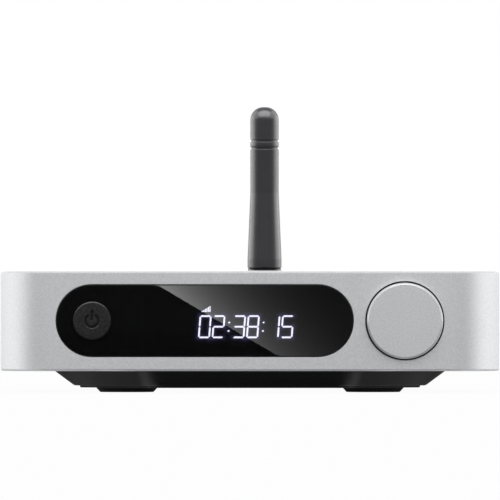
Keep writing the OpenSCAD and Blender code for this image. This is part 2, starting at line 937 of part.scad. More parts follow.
module antenna_collar() {
    hole = neck_r + run_gap;
    inside = thread_r + thread_gap;
    wall_y = collar_end - collar_wall;
    color([0.12, 0.12, 0.12]) turned_y(antenna_x, antenna_z)
        polygon([[inside, collar_y], [collar_r - collar_edge, collar_y],
                 [collar_r, collar_y + collar_edge], [collar_r, collar_end - collar_edge],
                 [collar_r - collar_edge, collar_end], [hole, collar_end],
                 [hole, wall_y], [inside, wall_y]]);
}

module antenna_knuckle() {
    neck = collar_end - collar_wall;
    slot = tongue_t / 2 + tongue_gap;
    color([0.1, 0.1, 0.1]) difference() {
        union() {
            rod_y(antenna_x, antenna_z, neck, knuckle_y, 2 * neck_r);
            rod_y(antenna_x, antenna_z, neck - neck_head_t, neck, 2 * (thread_r - neck_head_gap));
            intersection() {
                rod_y(antenna_x, antenna_z, knuckle_y, hinge_y + knuckle_r, knuckle_d);
                translate([antenna_x, hinge_y, antenna_z]) rotate([90, 0, 90])
                    linear_extrude(knuckle_d + 2 * over, center = true) union() {
                        circle(r = knuckle_r);
                        translate([knuckle_y - hinge_y, -knuckle_r])
                            square([hinge_y - knuckle_y, knuckle_d]);
                    }
            }
        }
        box(antenna_x - slot, antenna_x + slot, knuckle_y + knuckle_base, hinge_y + knuckle_r + over,
            antenna_z - knuckle_r - over, antenna_z + knuckle_r + over);
        translate([antenna_x - knuckle_d, hinge_y, antenna_z]) rotate([0, 90, 0])
            cylinder(r = pin_r + pin_gap, h = 2 * knuckle_d);
    }
}

module hinge_pin() {
    length = knuckle_d - pin_short;
    color([0.7, 0.7, 0.72]) translate([antenna_x - length / 2, hinge_y, antenna_z]) rotate([0, 90, 0])
        cylinder(r = pin_r, h = length);
}

module antenna_ferrule() {
    spigot_top = ferrule_l + spigot_l;
    color([0.08, 0.08, 0.08]) difference() {
        union() {
            translate([antenna_x, hinge_y, ferrule_z]) rotate_extrude()
                polygon([[0, 0], [ferrule_r - ferrule_edge, 0], [ferrule_r, ferrule_edge],
                         [ferrule_r, ferrule_l - ferrule_rim], [ferrule_r - ferrule_rim, ferrule_l],
                         [spigot_r, ferrule_l], [spigot_r, spigot_top], [0, spigot_top]]);
            translate([antenna_x, hinge_y, antenna_z]) rotate([90, 0, 90])
                linear_extrude(tongue_t, center = true) union() {
                    circle(r = tongue_r);
                    translate([-tongue_w / 2, 0]) square([tongue_w, ferrule_z - antenna_z]);
                }
        }
        translate([antenna_x - knuckle_d, hinge_y, antenna_z]) rotate([0, 90, 0])
            cylinder(r = pin_r + run_gap, h = 2 * knuckle_d);
    }
}

module sleeve_profile() {
    base = sleeve_base_d / 2;
    tip = sleeve_tip_d / 2;
    dome_z = sleeve_l - tip_r;
    difference() {
        union() {
            polygon([[0, 0], [base - sleeve_edge, 0], [base, sleeve_edge], [base, sleeve_foot_l],
                     [tip, taper_l], [tip, dome_z], [0, dome_z]]);
            translate([0, dome_z]) square([tip - tip_r, tip_r]);
            intersection() {
                translate([tip - tip_r, dome_z]) circle(r = tip_r);
                translate([0, dome_z]) square([tip, tip_r]);
            }
        }
        for (i = [0, 1])
            translate([tip - groove_t, sleeve_l - groove_top - groove_w / 2 - i * groove_pitch])
                square([over, groove_w]);
        translate([0, -over]) square([spigot_r + run_gap, spigot_l + over + run_gap]);
        translate([0, spigot_l])
            square([radiator_r + radiator_gap, radiator_l + spigot_room - radiator_gap]);
    }
}

module antenna_sleeve() {
    color([0.14, 0.14, 0.15]) translate([antenna_x, hinge_y, sleeve_z]) rotate_extrude() sleeve_profile();
}

module antenna_radiator() {
    color([0.8, 0.62, 0.3]) translate([antenna_x, hinge_y, sleeve_z + spigot_l]) union() {
        cylinder(r = radiator_r, h = radiator_l / 2);
        cylinder(r = radiator_wire_r, h = radiator_l);
    }
}

module phono_hole(x) {
    rod_y(x, phono_z, panel_in - over, panel_out + over, barrel_d + 2 * fit_gap);
}

// Square hole for a socket that stands on the main board
module socket_hole(x, w, h) {
    box(x - w / 2 - fit_gap, x + w / 2 + fit_gap, panel_in - over, panel_out + over,
        board_top - fit_gap, board_top + h + fit_gap);
}

module rear_panel() {
    flange_mid = (cover_top + roof_z) / 2;
    color([0.07, 0.07, 0.08]) difference() {
        union() {
            slab_y(panel_in, inner_rear) translate([0, flange_mid])
                square([opening_w + 2 * panel_lip, roof_z - cover_top - fit_gap], center = true);
            slab_y(inner_rear, panel_out) rear_opening()
                rounded(opening_w - 2 * fit_gap, body_h - 2 * rear_frame - 2 * fit_gap,
                        opening_r - fit_gap);
        }
        for (x = [line_left_x, line_right_x, coax_x])
            phono_hole(x);
        rod_y(antenna_x, antenna_z, panel_in - over, panel_out + over, 2 * thread_r + fit_gap);
        socket_hole(ethernet_x, ethernet_w, ethernet_h);
        socket_hole(optical_x, optical_w, optical_h);
        socket_hole(dc_x, dc_w, dc_h);
    }
}

module phono_block(x0, x1) {
    box(x0 - phono_w / 2, x1 + phono_w / 2, panel_in - phono_l, panel_in, board_top, board_top + phono_h);
}

module phono_barrel(x) {
    outer = barrel_d / 2;
    inner = outer - barrel_wall;
    root = outer - root_step;
    step = panel_out + ring_t;
    turned_y(x, phono_z)
        polygon([[inner, panel_in], [root, panel_in], [root, step], [outer, step],
                 [outer, panel_out + barrel_l], [inner, panel_out + barrel_l]]);
}

// Coloured core of a phono socket and the ring of the same plastic on the panel
module phono_insulator(x) {
    core = barrel_d - 2 * barrel_wall - 2 * run_gap;
    difference() {
        rod_y(x, phono_z, panel_in, panel_out + barrel_l - phono_dish, core);
        rod_y(x, phono_z, panel_out - over, panel_out + barrel_l, phono_pin_d);
    }
    slab_y(panel_out, panel_out + ring_t) translate([x, phono_z]) difference() {
        circle(d = barrel_d + 2 * phono_ring);
        circle(d = barrel_d - 2 * root_step + 2 * run_gap);
    }
}

module line_out_block() {
    color([0.12, 0.12, 0.12]) phono_block(line_right_x, line_left_x);
}

module line_out_barrels() {
    color([0.83, 0.68, 0.35]) for (x = [line_left_x, line_right_x])
        phono_barrel(x);
}

module line_left_insulator() {
    color([0.9, 0.9, 0.88]) phono_insulator(line_left_x);
}

module line_right_insulator() {
    color([0.75, 0.08, 0.07]) phono_insulator(line_right_x);
}

module coax_block() {
    color([0.12, 0.12, 0.12]) phono_block(coax_x, coax_x);
}

module coax_barrel() {
    color([0.83, 0.68, 0.35]) phono_barrel(coax_x);
}

module coax_insulator() {
    color([0.08, 0.08, 0.08]) phono_insulator(coax_x);
}

module optical_jack() {
    half = optical_w / 2;
    cave = optical_cave / 2;
    color([0.1, 0.1, 0.11]) difference() {
        box(optical_x - half, optical_x + half, optical_out - optical_l, optical_out,
            board_top, board_top + optical_h);
        box(optical_x - cave, optical_x + cave, optical_out - optical_depth, optical_out + over,
            optical_z - cave, optical_z + cave);
        translate([optical_x - cave - flap_pin_l, flap_y, flap_z]) rotate([0, 90, 0])
            cylinder(r = flap_pin_r + run_gap, h = optical_cave + 2 * flap_pin_l);
    }
}

module optical_emitter() {
    back = optical_out - optical_depth;
    color([0.8, 0.1, 0.1]) rod_y(optical_x, optical_z - emitter_drop, back, back + emitter_t, emitter_d);
}

module optical_shutter() {
    half = optical_cave / 2 - flap_gap;
    color([0.16, 0.16, 0.17]) union() {
        box(optical_x - half, optical_x + half, flap_y - flap_t / 2, flap_y + flap_t / 2,
            optical_z - half, flap_z);
        translate([optical_x - half, flap_y, flap_z]) rotate([0, 90, 0])
            cylinder(r = flap_r, h = 2 * half);
        translate([optical_x - half - flap_pin_l, flap_y, flap_z]) rotate([0, 90, 0])
            cylinder(r = flap_pin_r, h = 2 * (half + flap_pin_l));
    }
}

module ethernet_shield() {
    half = ethernet_w / 2;
    color([0.75, 0.76, 0.77]) difference() {
        box(ethernet_x - half, ethernet_x + half, ethernet_back, ethernet_out,
            board_top, board_top + ethernet_h);
        box(ethernet_x - half + sheet_t, ethernet_x + half - sheet_t, ethernet_back + sheet_t,
            ethernet_out - sheet_t, board_top - over, board_top + ethernet_h - sheet_t);
        box(ethernet_x - half + mouth_rim, ethernet_x + half - mouth_rim, ethernet_out - over,
            ethernet_out + over, board_top + mouth_sill, board_top + ethernet_h - mouth_rim);
    }
}

module ethernet_insert() {
    half = ethernet_w / 2 - sheet_t - run_gap;
    skin = sheet_t + run_gap;
    color([0.06, 0.06, 0.06]) difference() {
        box(ethernet_x - half, ethernet_x + half, ethernet_back + skin, ethernet_out - skin,
            board_top, board_top + ethernet_h - skin);
        box(ethernet_x - port_w / 2, ethernet_x + port_w / 2, port_back, ethernet_out + over,
            port_z, port_z + port_h);
        box(ethernet_x - latch_w / 2, ethernet_x + latch_w / 2, port_back + latch_end, ethernet_out + over,
            port_z - latch_h, port_z + over);
    }
}

module ethernet_contacts() {
    top = port_z + port_h;
    low = top - contact_drop;
    color([0.85, 0.7, 0.35]) for (i = [0 : contact_count - 1])
        translate([ethernet_x + (i - (contact_count - 1) / 2) * contact_pitch, 0, 0]) rotate([90, 0, 90])
            linear_extrude(contact_w, center = true)
                polygon([[port_back, top], [port_back + contact_l, top],
                         [port_back + contact_l, top - contact_t], [port_back + contact_foot, low],
                         [port_back, low]]);
}

module dc_jack() {
    half = dc_w / 2;
    color([0.09, 0.09, 0.09]) difference() {
        box(dc_x - half, dc_x + half, dc_out - dc_l, dc_out, board_top, board_top + dc_h);
        rod_y(dc_x, dc_z, dc_out - dc_depth, dc_out + over, dc_hole_d);
    }
}

module dc_pin() {
    color([0.8, 0.8, 0.82]) rod_y(dc_x, dc_z, dc_out - dc_depth, dc_out - dc_pin_short, dc_pin_d);
}

case_shell();
bottom_cover();
rubber_feet();
case_screws();
window_lens();
window_gasket();
power_button();
switch_plunger();
power_switch();
display_glass();
display_backlight();
display_frame();
front_board();
front_board_screws();
encoder_body();
encoder_shaft();
encoder_plunger();
knob_cap();
main_board();
main_board_screws();
ribbon_connectors();
ribbon_cable();
processor_chip();
dac_chip();
filter_capacitors();
clock_oscillators();
wifi_module();
antenna_lead();
antenna_jack();
antenna_jack_washer();
antenna_jack_nut();
antenna_collar();
antenna_knuckle();
hinge_pin();
antenna_ferrule();
antenna_sleeve();
antenna_radiator();
rear_panel();
line_out_block();
line_out_barrels();
line_left_insulator();
line_right_insulator();
coax_block();
coax_barrel();
coax_insulator();
optical_jack();
optical_emitter();
optical_shutter();
ethernet_shield();
ethernet_insert();
ethernet_contacts();
dc_jack();
dc_pin();
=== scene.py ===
import json
import math

import bmesh
import bpy
from mathutils import Matrix, Vector


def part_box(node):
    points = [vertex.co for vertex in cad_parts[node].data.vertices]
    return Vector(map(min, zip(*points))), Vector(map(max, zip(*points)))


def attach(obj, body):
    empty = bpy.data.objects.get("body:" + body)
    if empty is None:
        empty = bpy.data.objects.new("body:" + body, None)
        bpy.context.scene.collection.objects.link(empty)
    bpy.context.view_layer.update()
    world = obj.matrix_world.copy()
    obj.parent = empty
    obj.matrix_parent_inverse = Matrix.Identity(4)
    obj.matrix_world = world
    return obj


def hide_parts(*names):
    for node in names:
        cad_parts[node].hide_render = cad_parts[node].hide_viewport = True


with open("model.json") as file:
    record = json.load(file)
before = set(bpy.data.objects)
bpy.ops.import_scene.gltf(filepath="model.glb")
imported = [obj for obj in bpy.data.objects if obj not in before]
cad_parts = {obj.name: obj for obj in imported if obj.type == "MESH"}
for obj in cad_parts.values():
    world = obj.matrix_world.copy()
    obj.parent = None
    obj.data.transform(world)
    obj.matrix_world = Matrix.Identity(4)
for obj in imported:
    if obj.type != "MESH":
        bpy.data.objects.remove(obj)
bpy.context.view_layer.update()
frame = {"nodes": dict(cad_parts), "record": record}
nodes = frame["nodes"]
slot_of = {row["node"]: row["material_slot"] for row in frame["record"]["subparts"]}
scene = bpy.context.scene
MM = 0.001

# Sizes of the solids that their boxes don't give, as in the part's source
WINDOW_W = 71.6 * MM
WINDOW_H = 17.5 * MM
LENS_FLANGE_T = 1.4 * MM
FIT_GAP = 0.2 * MM
BUTTON_GAP = 0.12 * MM
BUTTON_LIP = 1.1 * MM
BASE_W = 95.0 * MM
BASE_CORNER = 20.2 * MM
BASE_DRAFT = 5.0 * MM
BASE_EDGE_R = 7.0 * MM
STEP_H = 0.5 * MM
STEP_INSET = 1.3 * MM
STEP_R = 1.9 * MM
PLATE_R = 12.4 * MM
SLEEVE_TIP_R = 3.525 * MM
SLEEVE_DOME_R = 3.2 * MM
SLEEVE_EDGE = 0.15 * MM
SLEEVE_FOOT_L = 2.2 * MM
SLEEVE_TAPER_L = 18.6 * MM
GROOVE_TOP = 8.4 * MM
GROOVE_PITCH = 1.85 * MM
GROOVE_W = 0.65 * MM
GROOVE_T = 0.25 * MM

shell_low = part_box("case_shell")[0]
lens_low, lens_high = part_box("window_lens")
button_low, button_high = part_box("power_button")
knob_low, knob_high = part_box("knob_cap")
feet_low, feet_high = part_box("rubber_feet")
front_y = shell_low.y
body_z = shell_low.z
axis_z = (knob_low.z + knob_high.z) / 2
window_x = (lens_low.x + lens_high.x) / 2
knob_x = (knob_low.x + knob_high.x) / 2
button_x = (button_low.x + button_high.x) / 2
BUTTON_R = (button_high.x - button_low.x) / 2 - BUTTON_LIP


# Outlines and profiles

def arc(centre, radius, start, end, steps):
    """Points of an arc, both ends included, with angles in degrees."""
    turns = [math.radians(start + (end - start) * i / steps) for i in range(steps + 1)]
    return [(centre[0] + radius * math.cos(t), centre[1] + radius * math.sin(t)) for t in turns]


def heading(a, b):
    return math.degrees(math.atan2(b[1] - a[1], b[0] - a[0]))


def rounded_path(path, radius, steps):
    """Outline at a distance from a path of corner centres that runs anticlockwise."""
    points = []
    for i, here in enumerate(path):
        start = heading(path[i - 1], here)
        turn = (heading(here, path[(i + 1) % len(path)]) - start) % 360
        points += arc(here, radius, start - 90, start - 90 + turn, steps)
    return points


def rectangle(width, depth, radius, steps):
    x, y = width / 2 - radius, depth / 2 - radius
    return rounded_path([(x, y), (-x, y), (-x, -y), (x, -y)], radius, steps)


def obround(width, height, steps):
    x, r = (width - height) / 2, height / 2
    return arc((x, 0), r, -90, 90, steps) + arc((-x, 0), r, 90, 270, steps)


def softened(points, radius, steps=4):
    """Open profile with each inner corner eased by a small curve."""
    made = [points[0]]
    for before, here, after in zip(points, points[1:], points[2:]):
        p, a, b = Vector(here), Vector(before) - Vector(here), Vector(after) - Vector(here)
        reach = min(radius, 0.45 * a.length, 0.45 * b.length)
        first, last = p + a.normalized() * reach, p + b.normalized() * reach
        for i in range(steps + 1):
            t = i / steps
            made.append(tuple(first * (1 - t) ** 2 + p * 2 * t * (1 - t) + last * t * t))
    return made + [points[-1]]


# Meshes

def linked(name, mesh):
    piece = bpy.data.objects.new(name, mesh)
    scene.collection.objects.link(piece)
    return piece


def solid(name, points, faces):
    """Object from points and faces, with doubles merged and faces turned outwards."""
    mesh = bpy.data.meshes.new(name)
    mesh.from_pydata(points, [], faces)
    work = bmesh.new()
    work.from_mesh(mesh)
    bmesh.ops.remove_doubles(work, verts=work.verts, dist=1e-7)
    bmesh.ops.recalc_face_normals(work, faces=work.faces)
    work.to_mesh(mesh)
    work.free()
    return linked(name, mesh)


def lofted(name, rings, loop=False):
    """Skin over rings of equally many points, closed at both ends or joined into a loop."""
    count = len(rings[0])
    points = [p for ring in rings for p in ring]
    faces = []
    for k in range(len(rings) if loop else len(rings) - 1):
        a, b = k * count, (k + 1) % len(rings) * count
        faces += [(a + i, a + (i + 1) % count, b + (i + 1) % count, b + i) for i in range(count)]
    if not loop:
        for k in (0, len(rings) - 1):
            ring = [Vector(p) for p in rings[k]]
            if (ring[0] - ring[count // 2]).length > 1e-7:
                faces.append(tuple(range(k * count, (k + 1) * count)))
    return solid(name, points, faces)


def along_y(x, z):
    return lambda u, v, h: (x + u, h, z + v)


def along_z(x, y):
    return lambda u, v, h: (x + u, y + v, h)


def turned(name, profile, place, steps=96, loop=False):
    """Profile of radius and height, turned about a line."""
    turns = [2 * math.pi * i / steps for i in range(steps)]
    rings = [[place(r * math.cos(t), r * math.sin(t), h) for t in turns] for r, h in profile]
    return lofted(name, rings, loop)


def prism_y(name, sections, x, z):
    """Solid through outlines of the X-Z plane, each at its own depth."""
    return lofted(name, [[(x + u, y, z + v) for u, v in outline] for outline, y in sections])


def settle(piece):
    """Makes what the modifiers give the piece's own plain mesh."""
    graph = bpy.context.evaluated_depsgraph_get()
    made = bpy.data.meshes.new_from_object(piece.evaluated_get(graph))
    old = piece.data
    piece.modifiers.clear()
    piece.data = made
    made.name = piece.name
    bpy.data.meshes.remove(old)
    return piece


def carve(piece, *cutters):
    for cutter in cutters:
        cut = piece.modifiers.new("carve", "BOOLEAN")
        cut.operation = "DIFFERENCE"
        cut.solver = "EXACT"
        cut.object = cutter
    settle(piece)
    for cutter in cutters:
        bpy.data.objects.remove(cutter)
    return piece


def smoothed(piece, degrees=34):
    mesh = piece.data
    mesh.polygons.foreach_set("use_smooth", [True] * len(mesh.polygons))
    mesh.set_sharp_from_angle(angle=math.radians(degrees))
    weigh = piece.modifiers.new("weigh", "WEIGHTED_NORMAL")
    weigh.keep_sharp = True
    return settle(piece)


def fitted(piece, body, slot, *stands_for, finish=None):
    """Gives a finished piece its material, its body and the solids that it stands for."""
    piece.data.materials.clear()
    piece.data.materials.append(finish or finishes[slot])
    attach(piece, body)
    if stands_for:
        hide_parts(*stands_for)


# Finishes

def maths(tree, operation, a, b=0):
    """Result of a sum on one or two values, each a number or another node's output."""
    made = tree.nodes.new("ShaderNodeMath")
    made.operation = operation
    for socket, value in zip(made.inputs, (a, b)):
        if isinstance(value, (int, float)):
            socket.default_value = value
        else:
            tree.links.new(value, socket)
    return made.outputs["Value"]


def ramp(tree, source, start, end, low, high, smooth=True):
    """Value that goes from low to high while the source goes from start to end."""
    made = tree.nodes.new("ShaderNodeMapRange")
    made.interpolation_type = "SMOOTHSTEP" if smooth else "LINEAR"
    for socket, value in (("From Min", start), ("From Max", end), ("To Min", low), ("To Max", high)):
        if isinstance(value, (int, float)):
            made.inputs[socket].default_value = value
        else:
            tree.links.new(value, made.inputs[socket])
    tree.links.new(source, made.inputs["Value"])
    return made.outputs["Result"]


def stops(tree, source, points, unit=MM):
    """Value that goes through the points, given as places in that unit and levels."""
    reach = points[-1][0]
    made = tree.nodes.new("ShaderNodeValToRGB")
    band = made.color_ramp.elements
    while len(band) < len(points):
        band.new(0.5)
    for stop, (place, level) in zip(band, points):
        stop.position = place / reach
        stop.color = (level, level, level, 1)
    tree.links.new(maths(tree, "DIVIDE", source, reach * unit), made.inputs["Fac"])
    return made.outputs["Color"]


class Finish:
    """Procedural material on the piece's own object coordinates."""

    def __init__(self, name, **sockets):
        self.material = bpy.data.materials.new(name)
        self.material.use_nodes = True
        self.tree = self.material.node_tree
        self.shader = self.tree.nodes["Principled BSDF"]
        self.place = self.tree.nodes.new("ShaderNodeTexCoord").outputs["Object"]
        for socket, value in sockets.items():
            label = socket.replace("_", " ").title().replace("Ior", "IOR")
            self.shader.inputs[label].default_value = value

    def node(self, kind, **settings):
        made = self.tree.nodes.new(kind)
        for key, value in settings.items():
            setattr(made, key, value)
        return made

    def join(self, source, target):
        self.tree.links.new(source, target)

    def grain(self, size_mm, detail=2.0):
        """Noise with spots of about that size."""
        noise = self.node("ShaderNodeTexNoise")
        noise.inputs["Scale"].default_value = 1 / (size_mm * MM)
        noise.inputs["Detail"].default_value = detail
        self.join(self.place, noise.inputs["Vector"])
        return noise.outputs["Fac"]

    def tint(self, source, dark, light):
        """Base colour between two colours."""
        mix = self.node("ShaderNodeMix", data_type="RGBA")
        mix.inputs["A"].default_value = (*dark, 1)
        mix.inputs["B"].default_value = (*light, 1)
        self.join(source, mix.inputs["Factor"])
        self.join(next(o for o in mix.outputs if o.type == "RGBA"), self.shader.inputs["Base Color"])

    def vary(self, socket, source, low, high):
        """Socket's value between two numbers, over the noise's usual range."""
        self.join(ramp(self.tree, source, 0.3, 0.7, low, high, smooth=False), self.shader.inputs[socket])

    def relief(self, source, depth_mm):
        bump = self.node("ShaderNodeBump")
        bump.inputs["Strength"].default_value = 1.0
        bump.inputs["Distance"].default_value = depth_mm * MM
        self.join(source, bump.inputs["Height"])
        self.join(bump.outputs["Normal"], self.shader.inputs["Normal"])


def grained(name, colour, rough, grain_mm, depth_mm, spread=0.1, sharp=False, **sockets):
    """Moulded or blasted surface: fine grain in its relief and tone, slow drift in its gloss."""
    made = Finish(name, **sockets)
    fine, slow = made.grain(grain_mm, 3.0), made.grain(9.0, 2.0)
    tone = ramp(made.tree, fine, 0.3, 0.7, 0, 1) if sharp else fine
    made.tint(tone, [c * (1 - spread) for c in colour], [c * (1 + spread) for c in colour])
    made.vary("Roughness", slow, rough[0], rough[1])
    made.relief(fine, depth_mm)
    return made


def smoked_acrylic(name):
    """Clear dark window with faint smears in its gloss."""
    made = Finish(name, transmission_weight=1.0, IOR=1.49)
    smear = made.grain(14, 3.0)
    made.tint(smear, (0.050, 0.050, 0.054), (0.058, 0.058, 0.062))
    made.vary("Roughness", smear, 0.0, 0.002)
    return made


def button_moulding(name):
    """Fine texture on the button's face, with a smooth rim round it."""
    made = grained(name, (0.0132, 0.0132, 0.0137), (0.40, 0.46), 0.27, 0.03, 0.60, True,
                   specular_ior_level=0.14)
    parts = made.node("ShaderNodeSeparateXYZ")
    made.join(made.place, parts.inputs["Vector"])
    across = maths(made.tree, "SUBTRACT", parts.outputs["X"], button_x)
    above = maths(made.tree, "SUBTRACT", parts.outputs["Z"], axis_z)
    square = maths(made.tree, "ADD", maths(made.tree, "MULTIPLY", across, across),
                   maths(made.tree, "MULTIPLY", above, above))
    from_middle = maths(made.tree, "SQRT", square)
    rim = ramp(made.tree, from_middle, BUTTON_R - 0.4 * MM, BUTTON_R - 0.2 * MM, 0.43, 0.14)
    made.join(rim, made.shader.inputs["Roughness"])
    return made


def circuit_board(name):
    """Green board with a fine pattern of tracks."""
    made = Finish(name)
    tracks = made.node("ShaderNodeTexBrick")
    tracks.inputs["Scale"].default_value = 260
    tracks.inputs["Mortar Size"].default_value = 0.03
    tracks.inputs["Color1"].default_value = (0.012, 0.085, 0.035, 1)
    tracks.inputs["Color2"].default_value = (0.016, 0.1, 0.042, 1)
    tracks.inputs["Mortar"].default_value = (0.03, 0.17, 0.08, 1)
    made.join(made.place, tracks.inputs["Vector"])
    made.join(tracks.outputs["Color"], made.shader.inputs["Base Color"])
    made.vary("Roughness", made.grain(0.8), 0.3, 0.45)
    made.relief(tracks.outputs["Fac"], 0.02)
    return made


def glowing(name, colour, strength, attribute=None):
    """Lit surface, over a dark ground where an attribute shades its light."""
    made = Finish(name, Roughness=0.5)
    made.tint(made.grain(0.4), (0.002, 0.002, 0.003), (0.004, 0.004, 0.006))
    made.shader.inputs["Emission Color"].default_value = (*colour, 1)
    made.shader.inputs["Emission Strength"].default_value = strength
    if attribute:
        light = made.node("ShaderNodeAttribute", attribute_name=attribute)
        shaded = maths(made.tree, "MULTIPLY", light.outputs["Fac"], strength)
        made.join(shaded, made.shader.inputs["Emission Strength"])
    return made.material


for plain in list(bpy.data.materials):
    bpy.data.materials.remove(plain)
# Grained ones: name, colour, roughness from and to, grain in mm, its depth in mm, spread of its tone
made_finishes = [
    grained("bead_blasted_aluminium", (0.885, 0.892, 0.91), (0.34, 0.38), 0.42, 0.006, 0.155, metallic=1.0),
    grained("turned_aluminium", (0.775, 0.781, 0.797), (0.34, 0.38), 0.40, 0.005, 0.205, metallic=1.0),
    grained("base_plastic", (0.006, 0.006, 0.0065), (0.36, 0.44), 0.45, 0.018, 0.35, specular_ior_level=0.7),
    grained("foot_rubber", (0.012, 0.012, 0.012), (0.7, 0.9), 0.22, 0.03, 0.3),
    grained("screw_steel", (0.42, 0.42, 0.43), (0.25, 0.4), 0.3, 0.003, 0.08, metallic=1.0),
    smoked_acrylic("window_acrylic"),
    grained("gasket_foam", (0.012, 0.012, 0.012), (0.8, 0.95), 0.3, 0.05, 0.3),
    button_moulding("button_plastic"),
    # Painted shade for the floors of the sign's engraved grooves, darker than the button
    grained("sign_paint", (0.003, 0.003, 0.003), (0.5, 0.6), 0.3, 0.005, 0.2, specular_ior_level=0.15),
    grained("black_plastic", (0.018, 0.018, 0.019), (0.35, 0.5), 0.35, 0.01, 0.2),
    grained("display_glass", (0.02, 0.022, 0.028), (0.05, 0.12), 2.0, 0.001, 0.2),
    grained("light_guide", (0.8, 0.83, 0.88), (0.3, 0.45), 0.6, 0.004, 0.04),
    circuit_board("circuit_board"),
    grained("plated_metal", (0.62, 0.63, 0.65), (0.22, 0.36), 0.5, 0.003, 0.06, metallic=1.0),
    grained("gold_plate", (0.86, 0.62, 0.27), (0.16, 0.28), 0.35, 0.002, 0.06, metallic=1.0),
    grained("connector_plastic", (0.72, 0.68, 0.56), (0.4, 0.55), 0.4, 0.01, 0.05),
    grained("ribbon_film", (0.8, 0.81, 0.84), (0.2, 0.35), 0.5, 0.002, 0.05),
    grained("chip_epoxy", (0.02, 0.02, 0.022), (0.5, 0.65), 0.12, 0.006, 0.3),
    grained("capacitor_sleeve", (0.02, 0.02, 0.045), (0.2, 0.32), 0.6, 0.002, 0.15),
    grained("panel_plastic", (0.014, 0.014, 0.015), (0.45, 0.6), 0.3, 0.02, 0.3),
    grained("white_plastic", (0.8, 0.8, 0.77), (0.25, 0.38), 0.5, 0.004, 0.04),
    grained("red_plastic", (0.5, 0.014, 0.012), (0.25, 0.38), 0.5, 0.004, 0.08),
    grained("dark_red_lens", (0.3, 0.01, 0.01), (0.05, 0.15), 0.8, 0.002, 0.15),
    grained("antenna_plastic", (0.004, 0.004, 0.006), (0.27, 0.32), 0.42, 0.008, 0.3,
            specular_ior_level=0.54, sheen_weight=0.085, sheen_roughness=0.3),
    grained("antenna_gloss", (0.004, 0.004, 0.004), (0.12, 0.22), 0.4, 0.002, 0.2, specular_ior_level=0.25),
    grained("cable_jacket", (0.015, 0.015, 0.015), (0.4, 0.55), 0.4, 0.01, 0.2),
]
finishes = {made.material.name: made.material for made in made_finishes}
for name, node in nodes.items():
    node.data.materials.clear()
    node.data.materials.append(finishes[slot_of[name]])


# Geometry Nodes

def node_tree(name, sizes):
    """Empty tree with named inputs; returns it with its input and output nodes."""
    tree = bpy.data.node_groups.new(name, "GeometryNodeTree")
    tree.interface.new_socket("Geometry", in_out="INPUT", socket_type="NodeSocketGeometry")
    for label, kind in sizes:
        tree.interface.new_socket(label, in_out="INPUT", socket_type="NodeSocket" + kind)
    tree.interface.new_socket("Geometry", in_out="OUTPUT", socket_type="NodeSocketGeometry")
    return tree, tree.nodes.new("NodeGroupInput"), tree.nodes.new("NodeGroupOutput")


def chain(tree, *steps):
    """Joins nodes one after another by their first geometry sockets."""
    for a, b in zip(steps, steps[1:]):
        out = next(o for o in a.outputs if o.type == "GEOMETRY")
        into = next(i for i in b.inputs if i.type == "GEOMETRY")
        tree.links.new(out, into)


def closing(tree, start, end, last):
    """Ends a tree in real meshes with the finish that its input names."""
    real = tree.nodes.new("GeometryNodeRealizeInstances")
    paint = tree.nodes.new("GeometryNodeSetMaterial")
    tree.links.new(start.outputs["Finish"], paint.inputs["Material"])
    chain(tree, last, real, paint, end)


def copies_tree():
    """One copy of a piece on each point."""
    tree, start, end = node_tree("copies_on_points", [("Piece", "Object"), ("Finish", "Material")])
    piece = tree.nodes.new("GeometryNodeObjectInfo")
    spread = tree.nodes.new("GeometryNodeInstanceOnPoints")
    tree.links.new(start.outputs["Piece"], piece.inputs["Object"])
    tree.links.new(start.outputs["Geometry"], spread.inputs["Points"])
    tree.links.new(piece.outputs["Geometry"], spread.inputs["Instance"])
    closing(tree, start, end, spread)
    return tree


def ribs_tree():
    """Ring of upright ribs, each a square bar set on its edge."""
    tree, start, end = node_tree("ring_of_ribs", [
        ("Count", "Int"), ("Radius", "Float"), ("Rib", "Float"), ("Length", "Float"),
        ("Finish", "Material")])
    ring = tree.nodes.new("GeometryNodeMeshCircle")
    bar = tree.nodes.new("GeometryNodeMeshCube")
    size = tree.nodes.new("ShaderNodeCombineXYZ")
    edge = tree.nodes.new("GeometryNodeTransform")
    edge.inputs["Rotation"].default_value = (0, 0, math.radians(45))
    place = tree.nodes.new("GeometryNodeInputPosition")
    face = tree.nodes.new("FunctionNodeAlignRotationToVector")
    face.axis = "X"
    face.pivot_axis = "Z"
    spread = tree.nodes.new("GeometryNodeInstanceOnPoints")
    for source, target in (("Count", ring.inputs["Vertices"]), ("Radius", ring.inputs["Radius"]),
                           ("Rib", size.inputs["X"]), ("Rib", size.inputs["Y"]),
                           ("Length", size.inputs["Z"])):
        tree.links.new(start.outputs[source], target)
    tree.links.new(size.outputs["Vector"], bar.inputs["Size"])
    tree.links.new(place.outputs["Position"], face.inputs["Vector"])
    tree.links.new(face.outputs["Rotation"], spread.inputs["Rotation"])
    chain(tree, bar, edge)
    tree.links.new(edge.outputs["Geometry"], spread.inputs["Instance"])
    tree.links.new(ring.outputs["Mesh"], spread.inputs["Points"])
    closing(tree, start, end, spread)
    return tree


